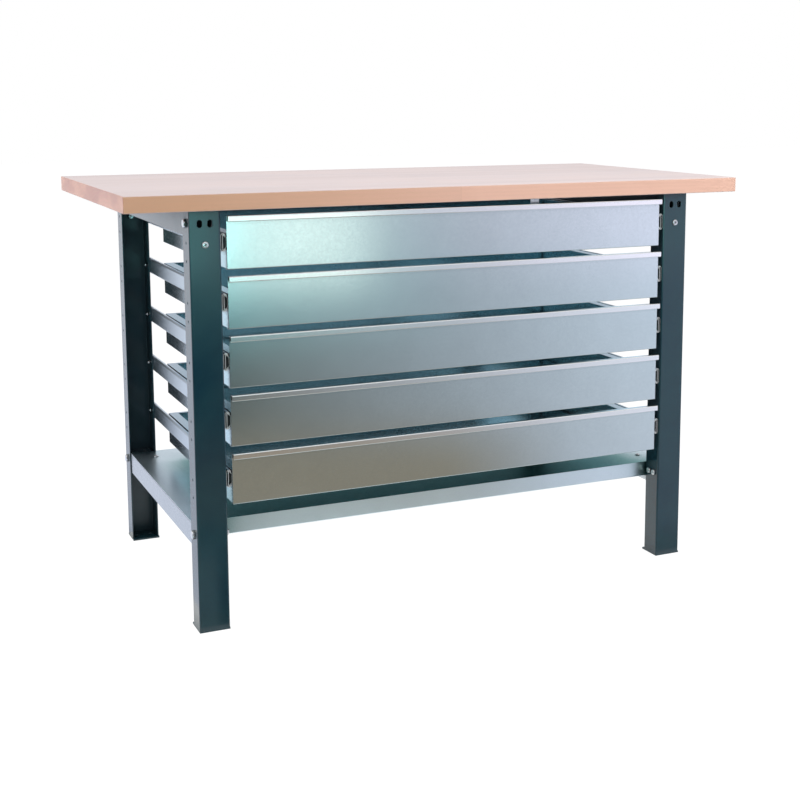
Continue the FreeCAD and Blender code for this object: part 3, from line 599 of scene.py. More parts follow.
class Finishes:
    """Every material of the bench, built once."""

    def __init__(self) -> None:
        """Build the shared effects and the materials."""
        effects = Effects()
        self.beech = Beech().material(effects)
        self.enamel = Enamel().material(effects)
        self.nylon = Nylon().material(effects)
        # The grip's face, ahead of the given Y, gets a painted highlight.
        self.front = Zinc(
            name="front_sheet", light=(0.655, 0.735, 0.745, 1), dark=(0.57, 0.65, 0.67, 1),
            gloss=(0.130, 0.150), contrast=0.34, relief=0.05, highlight_ahead_y=-0.3642).material(effects)
        self.stretcher = Zinc(
            name="stretcher_sheet", light=(0.52, 0.56, 0.58, 1), dark=(0.45, 0.49, 0.51, 1),
            gloss=(0.20, 0.28), fold=0.0012).material(effects)
        # The tray takes a tint of painted shade where it is shut in.
        self.tray = Zinc(
            name="tray_sheet", light=(0.62, 0.71, 0.76, 1), dark=(0.54, 0.63, 0.68, 1),
            gloss=(0.14, 0.20), shade_tint=(0.80, 1.0, 1.0, 1)).material(effects)
        # The shelf takes a dark teal painted shade where it is shut in under the drawers.
        self.shelf = Zinc(
            name="shelf_sheet", light=(0.80, 0.90, 0.94, 1), dark=(0.73, 0.83, 0.88, 1),
            gloss=(0.28, 0.34), contrast=0.20, relief=0.0, shade_tint=(0.04, 0.27, 0.24, 1),
            shade_reach=0.12, shade_range=(0.35, 0.80)).material(effects)
        # The slides' faces that look ahead get a painted highlight.
        self.slide = Zinc(
            name="slide_steel", light=(0.72, 0.80, 0.86, 1), dark=(0.62, 0.70, 0.77, 1),
            gloss=(0.30, 0.36), flakes=300.0, contrast=0.15, fold=0.0006, speck=2600.0,
            relief=0.0, end_highlight=1.0).material(effects)
        self.bright = Zinc(
            name="bright_zinc", light=(0.80, 0.81, 0.82, 1), dark=(0.58, 0.60, 0.62, 1),
            gloss=(0.16, 0.30), flakes=420.0, contrast=0.30, fold=0.0004, speck=1500.0,
            relief=0.15).material(effects)


def dress(node: str, material: Material) -> None:
    """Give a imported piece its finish.

    Args:
        node: name of the piece.
        material: its finish.
    """
    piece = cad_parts[node]
    if not piece.material_slots:
        piece.data.materials.append(material)
    for slot in piece.material_slots:
        slot.material = material
    LOG.info("%s: %s", node, material.name)


# ---------------------------------------------------------------- modelling by hand

class Blank:
    """A piece on the vice: started from a primitive, then shaped in edit mode."""

    def __init__(self, name: str, piece: Piece | None = None) -> None:
        """Take a piece, or else the primitive that was just added, and name it."""
        self.piece = piece or bpy.context.active_object
        self.piece.name = self.piece.data.name = name

    @classmethod
    def cast(cls, name: str, primitive: Callable, scale: Triple = (1, 1, 1),
             **shape: object) -> "Blank":
        """Start from a primitive, with its place and size fixed in its mesh.

        Args:
            name: name of the piece.
            primitive: the operator that adds it.
            scale: how it is stretched along X, Y and Z.
            shape: the operator's settings.

        Returns:
            The blank.
        """
        bpy.ops.object.select_all(action="DESELECT")
        primitive(**shape)
        bpy.context.active_object.scale = scale
        bpy.ops.object.transform_apply(location=True, rotation=True, scale=True)
        return cls(name)

    @classmethod
    def bar(cls, name: str, radius: float, start: float, height: float, sides: int) -> "Blank":
        """Start from a bar on Z, with its radius over the corners and its lower end at start."""
        return cls.cast(name, bpy.ops.mesh.primitive_cylinder_add, vertices=sides,
                        radius=radius, depth=height, location=(0, 0, start + height / 2))

    @classmethod
    def cone(cls, name: str, radii: Pair, start: float, height: float, sides: int) -> "Blank":
        """Start from a taper on Z, with the radii of its lower and upper end."""
        return cls.cast(name, bpy.ops.mesh.primitive_cone_add, vertices=sides, radius1=radii[0],
                        radius2=radii[1], depth=height, location=(0, 0, start + height / 2))

    @classmethod
    def block(cls, name: str, size: Triple, middle: Triple) -> "Blank":
        """Start from a block, with its sides along X, Y and Z and its centre."""
        return cls.cast(name, bpy.ops.mesh.primitive_cube_add, size=1, location=middle, scale=size)

    def hold(self) -> None:
        """Make this the only selected piece."""
        bpy.ops.object.select_all(action="DESELECT")
        self.piece.select_set(True)
        bpy.context.view_layer.objects.active = self.piece

    def pick(self, way: Triple | None = None) -> None:
        """Enter edit mode with the outermost faces on one side selected.

        Args:
            way: direction that the faces look in, or None for every face.
        """
        self.hold()
        bpy.ops.object.mode_set(mode="EDIT")
        bpy.ops.mesh.select_mode(type="FACE")
        bpy.ops.mesh.select_all(action="DESELECT")
        bpy.ops.object.mode_set(mode="OBJECT")
        faces, aim = self.piece.data.polygons, Vector(way or UP)
        edge = max(face.center.dot(aim) for face in faces) - 1e-6
        for face in faces:
            face.select = not way or (face.normal.dot(aim) > 0.9 and face.center.dot(aim) > edge)
        bpy.ops.object.mode_set(mode="EDIT")

    def shape(self, way: Triple | None, tool: Callable, **settings: object) -> "Blank":
        """Use an edit mode tool on the outermost faces on one side.

        Args:
            way: direction that the faces look in, or None for every face.
            tool: the operator.
            settings: the operator's settings.

        Returns:
            The blank.
        """
        self.pick(way)
        tool(**settings)
        bpy.ops.object.mode_set(mode="OBJECT")
        return self

    def modify(self, kind: str, **settings: object) -> "Blank":
        """Add a modifier and apply it.

        Args:
            kind: type of the modifier.
            settings: its options.

        Returns:
            The blank.
        """
        self.hold()
        modifier = self.piece.modifiers.new(kind.lower(), kind)
        for name, option in settings.items():
            setattr(modifier, name, option)
        bpy.ops.object.modifier_apply(modifier=modifier.name)
        return self

    def trim(self, tool: "Blank", cut: Cut) -> "Blank":
        """Shape with another blank, which is used up.

        Args:
            tool: the other blank.
            cut: what is kept.

        Returns:
            The blank.
        """
        self.modify("BOOLEAN", operation=cut.value, object=tool.piece, solver="EXACT")
        bpy.data.objects.remove(tool.piece, do_unlink=True)
        return self

    def clean(self) -> "Blank":
        """Take out doubled points and faces without area."""
        self.shape(None, bpy.ops.mesh.remove_doubles, threshold=0.000005)
        return self.shape(None, bpy.ops.mesh.dissolve_degenerate, threshold=0.000002)

    def weld(self, others: Iterable["Blank"]) -> "Blank":
        """Join other blanks into this one.

        Args:
            others: the blanks to take in.

        Returns:
            The blank.
        """
        self.hold()
        for other in others:
            other.piece.select_set(True)
        if len(bpy.context.selected_objects) > 1:
            bpy.ops.object.join()
        return self

    def smooth(self, angle: float = 35.0) -> "Blank":
        """Shade smoothly across gentle edges.

        Args:
            angle: the greatest angle of a smooth edge, in degrees.

        Returns:
            The blank.
        """
        self.hold()
        bpy.ops.object.shade_smooth_by_angle(angle=math.radians(angle))
        return self

    def copy(self, move: Matrix) -> "Blank":
        """Copy the blank to another place.

        Args:
            move: the move from this one to the copy.

        Returns:
            The copy.
        """
        twin = self.piece.copy()
        twin.data = self.piece.data.copy()
        twin.data.transform(move)
        bpy.context.scene.collection.objects.link(twin)
        return Blank("copy", twin)

    def finish(self, name: str, material: Material, body: str, slot: Slot,
               stands_for: tuple[str, ...] = ()) -> None:
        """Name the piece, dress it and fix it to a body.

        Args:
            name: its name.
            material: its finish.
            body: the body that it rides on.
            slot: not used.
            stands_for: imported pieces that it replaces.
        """
        self.piece.name = self.piece.data.name = name
        self.piece.data.materials.clear()
        self.piece.data.materials.append(material)
        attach(self.piece, body)
        if stands_for:
            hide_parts(*stands_for)
        LOG.info("%s: %s, on %s", name, material.name, body)


@dataclass(frozen=True)
class Seat:
    """Where one copy of a fastener sits: the way that its head points, and its place."""

    way: Triple
    at: Triple
    spin: float = 0.0

    def matrix(self) -> Matrix:
        """Give the move from the master to the seat."""
        turn = Vector(UP).rotation_difference(Vector(self.way)).to_matrix().to_4x4()
        return Matrix.Translation(self.at) @ turn @ Matrix.Rotation(self.spin, 4, "Z")


@dataclass
class Fastener:
    """One kind of bolt, screw, nut or rivet, modelled once and set on its seats."""

    name: str
    seats: list[Seat]
    material: Material
    body: str = "bench"
    stands_for: tuple[str, ...] = ()

    def master(self) -> Blank:
        """Model one piece with its head on +Z and its seat at the origin."""
        raise NotImplementedError

    def build(self) -> None:
        """Model the master, copy it to its seats and fix the copies to the body."""
        master = self.master()
        copies = [master.copy(seat.matrix()) for seat in self.seats]
        bpy.data.objects.remove(master.piece, do_unlink=True)
        copies[0].weld(copies[1:]).finish(self.name, self.material, self.body, Slot.ZINC,
                                          self.stands_for)


@dataclass
class HexBolt(Fastener):
    """Hex bolt with a chamfered head, a washer face and a ridged shank."""

    diameter: float = 0.010
    flats: float = 0.017
    head: float = 0.0064
    reach: float = 0.0145
    pitch: float = 0.0015
    lap: float = 0.0003
    root: float = 0.87
    sides: int = 36

    def master(self) -> Blank:
        """Model the bolt.

        Returns:
            The bolt.
        """
        corner = self.flats / math.sqrt(3)
        head = Blank.bar("head", corner, self.lap, self.head - self.lap, 6)
        cone = Blank.cone("chamfer", (corner * 1.28, corner * 0.80), 0.0, self.head, self.sides)
        head.trim(cone, Cut.KEEP_INSIDE).clean()
        face = Blank.bar("washer_face", self.flats * 0.47, 0.0, 2 * self.lap, self.sides)
        return head.weld([face, self.shank()]).smooth()

    def shank(self) -> Blank:
        """Model the ridged shank, down from the head, as one ridge that is repeated.

        Returns:
            The shank.
        """
        crest = 0.985 * self.diameter / 2
        ridge = Blank.bar("ridge", crest, self.lap - self.pitch, self.pitch, self.sides // 2)
        ridge.shape(None, bpy.ops.mesh.bisect, plane_co=(0, 0, self.lap - self.pitch / 2),
                    plane_no=UP)
        for way in (UP, DOWN):
            ridge.shape(way, bpy.ops.transform.resize, value=(self.root, self.root, 1))
            ridge.shape(way, bpy.ops.mesh.delete, type="ONLY_FACE")
        ridge.modify("ARRAY", count=int(self.reach / self.pitch), use_relative_offset=False,
                     use_constant_offset=True, constant_offset_displace=(0, 0, -self.pitch),
                     use_merge_vertices=True, merge_threshold=0.00001)
        return ridge.shape(None, bpy.ops.mesh.fill_holes, sides=0)


@dataclass
class Nut(Fastener):
    """Hex nut, chamfered on both faces, open over its bolt."""

    diameter: float = 0.010
    flats: float = 0.017
    start: float = -0.0125
    height: float = 0.008
    play: float = 0.001

    def master(self) -> Blank:
        """Model the nut.

        Returns:
            The nut.
        """
        corner = self.flats / math.sqrt(3)
        nut = Blank.bar("nut", corner, self.start, self.height, 6)
        for low, high in ((1.25, 0.80), (0.80, 1.25)):
            nut.trim(Blank.cone("chamfer", (corner * low, corner * high), self.start,
                                self.height, 36), Cut.KEEP_INSIDE)
        hole = Blank.bar("hole", self.diameter / 2, self.start - self.play,
                         self.height + 2 * self.play, 24)
        return nut.trim(hole, Cut.TAKE_AWAY).clean().smooth()


@dataclass
class PanScrew(Fastener):
    """Screw with a domed round head and a cross recess."""

    diameter: float = 0.008
    head: float = 0.0145
    height: float = 0.0036
    reach: float = 0.016
    lap: float = 0.0004
    crown: float = 0.72
    recess: Pair = (0.60, 0.15)
    recess_taper: float = 0.45
    point: float = 0.12

    def master(self) -> Blank:
        """Model the screw.

        Returns:
            The screw.
        """
        head = Blank.bar("head", self.head / 2, 0.0, self.height, 36)
        head.shape(UP, bpy.ops.mesh.bevel, offset=self.height * self.crown, segments=5,
                   affect="EDGES")
        length, width = (self.head * share for share in self.recess)
        for across, along in ((length, width), (width, length)):
            slot = Blank.block("slot", (across, along, self.height), (0, 0, self.height * 0.75))
            slot.shape(DOWN, bpy.ops.transform.resize,
                       value=(self.recess_taper, self.recess_taper, 1))
            head.trim(slot, Cut.TAKE_AWAY)
        shank = Blank.bar("shank", self.diameter / 2, -self.reach, self.reach + self.lap, 18)
        point = self.diameter * self.point
        shank.shape(DOWN, bpy.ops.mesh.inset, thickness=point, depth=point)
        return head.weld([shank]).smooth()


@dataclass
class Rivet(Fastener):
    """Blind rivet: a low dome with the stub of its pin, and a bulged tail."""

    diameter: float = 0.004
    head: float = 0.0076
    dome: float = 0.0011
    grip: float = 0.0022
    tail: float = 0.0022

    def master(self) -> Blank:
        """Model the rivet, with its head below the origin and its tail above.

        Returns:
            The rivet.
        """
        dome = Blank.bar("dome", self.head / 2, -self.dome, self.dome, 24)
        dome.shape(DOWN, bpy.ops.mesh.bevel, offset=self.dome * 0.8, segments=3, affect="EDGES")
        dome.shape(DOWN, bpy.ops.mesh.inset, thickness=self.head * 0.22, depth=-self.dome * 0.4)
        stem = Blank.bar("stem", self.diameter / 2, 0.0, self.grip + self.tail, 18)
        stem.shape(UP, bpy.ops.mesh.bevel, offset=self.diameter * 0.2, segments=3, affect="EDGES")
        return dome.weld([stem]).smooth()


# ---------------------------------------------------------------- sub-assemblies

@dataclass(kw_only=True)
class Assembly:
    """A part of the bench, with the finishes and the measures that the parts share."""

    finishes: Finishes
    leg_sheet: float = 0.0025
    slide_sheet: float = 0.0012
    stretcher_sheet: float = 0.002

    @staticmethod
    def leg_face(side: str, way: int) -> float:
        """Give the X of a leg's face toward +X, where way is 1, or toward -X."""
        low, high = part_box("leg_front_" + side)
        return high.x if way > 0 else low.x

    @staticmethod
    def middle_x(node: str) -> float:
        """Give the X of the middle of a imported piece."""
        low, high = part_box(node)
        return (low.x + high.x) / 2


@dataclass(kw_only=True)
class Worktop(Assembly):
    """Beech board, the screws that hold it from below and a small tab under its front."""

    screw_inset: float = 0.090
    tab_place: float = 0.206
    tab_gap: float = 0.007
    tab_size: Triple = (0.022, 0.024, 0.016)

    def build(self) -> None:
        """Dress the board and set its screws."""
        dress("worktop", self.finishes.beech)
        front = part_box("leg_front_left")[0].y + self.screw_inset
        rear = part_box("leg_rear_left")[1].y - self.screw_inset
        seats = []
        for side, _ in SIDES:
            node = "top_stretcher_" + side
            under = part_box(node)[1].z - self.stretcher_sheet
            seats += [Seat(DOWN, (self.middle_x(node), y, under)) for y in (front, rear)]
        PanScrew("worktop_screw_heads", seats, self.finishes.bright,
                 stands_for=("worktop_screws",), diameter=0.005, head=0.010, height=0.0026,
                 reach=0.0255).build()
        self.tab()

    def tab(self) -> None:
        """Bent plate under the front of the board, above the top drawer, and its screw."""
        sheet = self.stretcher_sheet
        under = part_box("worktop")[0].z
        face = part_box("drawer_1_front")[1].y + self.tab_gap
        width, drop, foot = self.tab_size
        leaf = Blank.block("tab_leaf", (width, sheet, drop),
                           (self.tab_place, face + sheet / 2, under - drop / 2))
        reach = foot + sheet / 2
        base = Blank.block("tab_foot", (width, reach, sheet),
                           (self.tab_place, face + sheet + foot - reach / 2, under - sheet / 2))
        leaf.trim(base, Cut.ADD).clean().finish("worktop_tab", self.finishes.bright, "bench",
                                                Slot.ZINC)
        seat = Seat(DOWN, (self.tab_place, face + sheet + foot / 2, under - sheet))
        PanScrew("worktop_tab_screw", [seat], self.finishes.bright, diameter=0.004,
                 head=0.008, height=0.0022, reach=sheet).build()


@dataclass(kw_only=True)
class Frame(Assembly):
    """Legs, feet, stretchers and their bolts."""

    flange_line: float = 0.026
    top: float = 0.910
    top_bolt_drop: float = 0.027
    bottom_bolt: float = 0.2133
    outer_spins: Pair = (0.35, 0.85)
    pair_spacing: float = 0.020
    pair_spins: Pair = (0.2, 0.6)
    web_screw_drop: float = 0.071
    rail_first: float = 0.842
    rail_pitch: float = 0.127
    plate_inset: float = 0.040
    plate_gap: float = 0.0004

    def build(self) -> None:
        """Dress the frame and set its fasteners."""
        legs = ["leg_%s_%s" % (end, side) for end, _ in ENDS for side, _ in SIDES]
        for node in legs + ["foot_plates", "top_stretcher_left", "top_stretcher_right"]:
            dress(node, self.finishes.enamel)
        for side, _ in SIDES:
            dress("bottom_stretcher_" + side, self.finishes.stretcher)
        self.outer_bolts()
        self.inner_bolts()
        self.web_screws()
        self.diaphragms()
        self.rail_screws()

    def flange_y(self, end: int) -> float:
        """Give the hole line of the front or rear leg flanges.

        Args:
            end: -1 for the front legs and 1 for the rear.

        Returns:
            The Y of the line.
        """
        if end < 0:
            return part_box("leg_front_left")[0].y + self.flange_line
        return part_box("leg_rear_left")[1].y - self.flange_line

    def outer_bolts(self) -> None:
        """Single bolts and nuts on the outer flanges."""
        heights = (self.top - self.top_bolt_drop, self.bottom_bolt)
        seats = [Seat((sign, 0, 0), (self.leg_face(side, sign), self.flange_y(end), z), spin)
                 for side, sign in SIDES for _, end in ENDS
                 for z, spin in zip(heights, self.outer_spins)]
        HexBolt("outer_bolts", seats, self.finishes.bright, stands_for=("frame_bolts",)).build()
        Nut("outer_nuts", seats, self.finishes.bright, stands_for=("frame_nuts",)).build()

    def inner_bolts(self) -> None:
        """Paired bolts and nuts on the inner flanges."""
        steps = (-self.pair_spacing / 2, self.pair_spacing / 2)
        seats = [Seat((-sign, 0, 0), (self.leg_face(side, -sign), self.flange_y(end) + step,
                                      self.bottom_bolt), spin)
                 for side, sign in SIDES for _, end in ENDS
                 for step, spin in zip(steps, self.pair_spins)]
        HexBolt("inner_bolts", seats, self.finishes.bright, stands_for=("flange_bolts",),
                diameter=0.008, flats=0.013, head=0.0053, reach=0.0125, pitch=0.00125).build()
        Nut("inner_nuts", seats, self.finishes.bright, stands_for=("flange_nuts",),
            diameter=0.008, flats=0.013, start=-0.0110, height=0.0065).build()

    def web_screws(self) -> None:
        """Large screws in the leg webs."""
        seats = []
        for name, end in ENDS:
            for side, _ in SIDES:
                node = "leg_%s_%s" % (name, side)
                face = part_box(node)[0 if end < 0 else 1].y
                seats.append(Seat((0, end, 0), (self.middle_x(node), face,
                                                self.top - self.web_screw_drop), spin=0.4))
        PanScrew("web_screw_heads", seats, self.finishes.bright,
                 stands_for=("web_screws",)).build()
        height = 0.0065
        Nut("web_nuts", seats, self.finishes.bright, diameter=0.008, flats=0.013,
            start=-self.leg_sheet - height, height=height).build()

    def diaphragms(self) -> None:
        """Dark enamel plates that close the top stretchers a little way in from each end, which
        also stand in for the shade seen through the slots of the legs.
        """
        plates = []
        for side, _ in SIDES:
            low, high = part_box("top_stretcher_" + side)
            sheet, gap = self.stretcher_sheet, self.plate_gap
            size = (high.x - low.x - 2 * sheet - 1.5 * gap, sheet, high.z - low.z - sheet - 2 * gap)
            for y in (low.y + self.plate_inset, high.y - self.plate_inset):
                middle = ((low.x + high.x) / 2, y, low.z + gap + size[2] / 2)
                plates.append(Blank.block("plate", size, middle).shape(
                    DOWN, bpy.ops.transform.resize, value=(0.8, 1, 1)))
        plates[0].weld(plates[1:]).finish("stretcher_diaphragms", self.finishes.enamel, "bench",
                                          Slot.PAINT)

    def rail_screws(self) -> None:
        """Screws and nuts that hold the slides to the legs."""
        seats = []
        for level in LEVELS:
            z = self.rail_first - self.rail_pitch * (level - 1)
            for side, sign in SIDES:
                face = self.leg_face(side, -sign) - sign * self.slide_sheet
                seats += [Seat((-sign, 0, 0), (face, self.flange_y(end), z), spin=0.3 * level)
                          for _, end in ENDS]
        grip, height = self.leg_sheet + self.slide_sheet, 0.004
        PanScrew("rail_screw_heads", seats, self.finishes.bright, stands_for=("rail_screws",),
                 diameter=0.005, head=0.009, height=0.0022, reach=grip + 0.006).build()
        Nut("rail_nuts", seats, self.finishes.bright, diameter=0.005, flats=0.008,
            start=-grip - height, height=height).build()


@dataclass(kw_only=True)
class Shelf(Assembly):
    """Galvanised shelf and its screws."""

    screw_edge: float = 0.060
    screw_inset: float = 0.0205

    def build(self) -> None:
        """Dress the shelf and set its screws."""
        dress("shelf", self.finishes.shelf)
        low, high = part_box("shelf")
        seats = [Seat(UP, (self.middle_x("leg_front_" + side) - sign * self.screw_inset, y,
                           high.z), spin=0.5)
                 for side, sign in SIDES
                 for y in (low.y + self.screw_edge, high.y - self.screw_edge)]
        PanScrew("shelf_screw_heads", seats, self.finishes.bright,
                 stands_for=("shelf_screws",), diameter=0.006, head=0.011, height=0.0035,
                 reach=0.0072).build()


@dataclass(kw_only=True)
class Drawer(Assembly):
    """One drawer: tray, front and rivets, with its pair of slides."""

    level: int
    slide_drop: float = 0.056
    rivet_end: float = 0.060
    rivet_depth: float = 0.0115
    buffer_depth: float = 0.0052
    buffer_setback: float = 0.0012
    buffer_size: Triple = (0.0057, 0.026, 0.027)
    buffer_taper: float = 0.68
    buffer_rim: float = 0.0009
    buffer_hollow: float = 0.0015
    buffer_edge: float = 0.0003

    def build(self) -> None:
        """Dress the drawer and its slides, and set its buffers and rivets."""
        dress("drawer_%d_tray" % self.level, self.finishes.tray)
        dress("drawer_%d_front" % self.level, self.finishes.front)
        for side, _ in SIDES:
            for member in ("leg", "tray"):
                dress("slide_%d_%s_member_%s" % (self.level, member, side), self.finishes.slide)
        dress("slide_%d_middle_members" % self.level, self.finishes.slide)
        self.buffers()
        self.rivets()

    def slide_z(self) -> float:
        """Give the height of the middle of the slides."""
        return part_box("drawer_%d_front" % self.level)[1].z - self.slide_drop

    def buffers(self) -> None:
        """Black nylon buffers in the front ends of the middle slide members, which also stand in
        for the shade inside the slides.
        """
        blocks = []
        width, length, _ = self.buffer_size
        for side, sign in SIDES:
            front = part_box("slide_%d_leg_member_%s" % (self.level, side))[0].y
            x = self.leg_face(side, -sign) - sign * (self.buffer_depth + width / 2)
            block = Blank.block("buffer", self.buffer_size,
                                (x, front + self.buffer_setback + length / 2, self.slide_z()))
            block.shape((-sign, 0, 0), bpy.ops.transform.resize, value=(1, 1, self.buffer_taper))
            block.shape(AHEAD, bpy.ops.mesh.inset, thickness=self.buffer_rim,
                        depth=-self.buffer_hollow)
            blocks.append(block.modify("BEVEL", width=self.buffer_edge, segments=2,
                                       limit_method="ANGLE"))
        blocks[0].weld(blocks[1:]).smooth().finish(
            "slide_%d_buffers" % self.level, self.finishes.nylon,
            "slide_middle_%d" % self.level, Slot.NONE)

    def rivets(self) -> None:
        """Rivets that hold the tray between its slides."""
        seats = []
        for side, sign in SIDES:
            low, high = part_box("slide_%d_tray_member_%s" % (self.level, side))
            x = self.leg_face(side, -sign) - sign * self.rivet_depth
            seats += [Seat((-sign, 0, 0), (x, y, self.slide_z()))
                      for y in (low.y + self.rivet_end, high.y - self.rivet_end)]
        Rivet("drawer_%d_rivet_heads" % self.level, seats, self.finishes.bright,
              body="drawer_%d" % self.level,
              stands_for=("drawer_%d_rivets" % self.level,)).build()


# ---------------------------------------------------------------- studio

@dataclass(frozen=True)
class Fade:
    """A share that grows to 1 from the first to the last of two angles in degrees."""

    angle: Angle
    first: float
    last: float
    least: float = 0.0

    def share(self, graph: Graph, angles: tuple[Socket, Socket]) -> Socket:
        """Wire the share from the bearing and the dip in radians."""
        reach = (math.radians(self.first), math.radians(self.last))
        return graph.spread(angles[self.angle.value], reach, (self.least, 1))


@dataclass(frozen=True)
class Patch:
    """One soft-edged tone on the front card."""

    name: str
    tone: Triple
    fades: tuple[Fade, ...]
    mode: str = "MIX"


BEARING, DIP = Angle
LEFT_END = Fade(BEARING, 15.05, 14.7)
FRONT_PATCHES = (
    Patch("teal", (0.02, 0.31, 0.36), (Fade(BEARING, 26.0, 14.0), Fade(DIP, 11.3, 8.4)), "ADD"),
    Patch("mint", (1.28, 1.47, 1.39), (Fade(BEARING, 22.2, 20.6), Fade(DIP, 8.7, 7.3),
                                       Fade(BEARING, 15.2, 17.8, 0.66))),
    Patch("shadow", (0.02, 0.07, 0.10), (LEFT_END, Fade(DIP, 6.0, 10.0))),
    Patch("gleam", (1.5, 3.6, 3.4), (LEFT_END, Fade(DIP, 8.5, 6.5))),
    Patch("earth", (0.325, 0.275, 0.215), (Fade(BEARING, 30.5, 25.0), Fade(DIP, 13.2, 15.5),
                                           Fade(DIP, 18.4, 17.6))),
    Patch("foot", (0.52, 0.58, 0.59), (Fade(DIP, 17.6, 18.6), Fade(BEARING, 15.4, 17.0))),
    Patch("moss", (0.46, 0.58, 0.58), (Fade(DIP, 18.0, 19.5), LEFT_END)),
)
FRONT_BY_BEARING: Stops = ((0.05, (0.135, 0.14, 0.13)), (0.50, (0.40, 0.43, 0.48)),
                           (0.92, (0.74, 0.78, 0.90)))
FRONT_BY_DIP: Stops = ((0.12, (1.56, 1.42, 1.48)), (0.30, (1.06, 1.08, 1.09)),
                       (0.60, (1.0, 0.99, 0.98)), (0.85, (0.93, 0.92, 0.92)))
SIDE_BY_DISTANCE: Stops = ((0.0, (0.80, 0.85, 1.0)), (0.5, (0.90, 0.94, 1.06)),
                           (1.0, (0.95, 0.98, 1.06)))
WALL_BY_HEIGHT: Stops = ((0.0, (0.46, 0.50, 0.58)), (0.6, (0.55, 0.58, 0.66)),
                         (1.0, (0.97, 0.98, 1.0)))


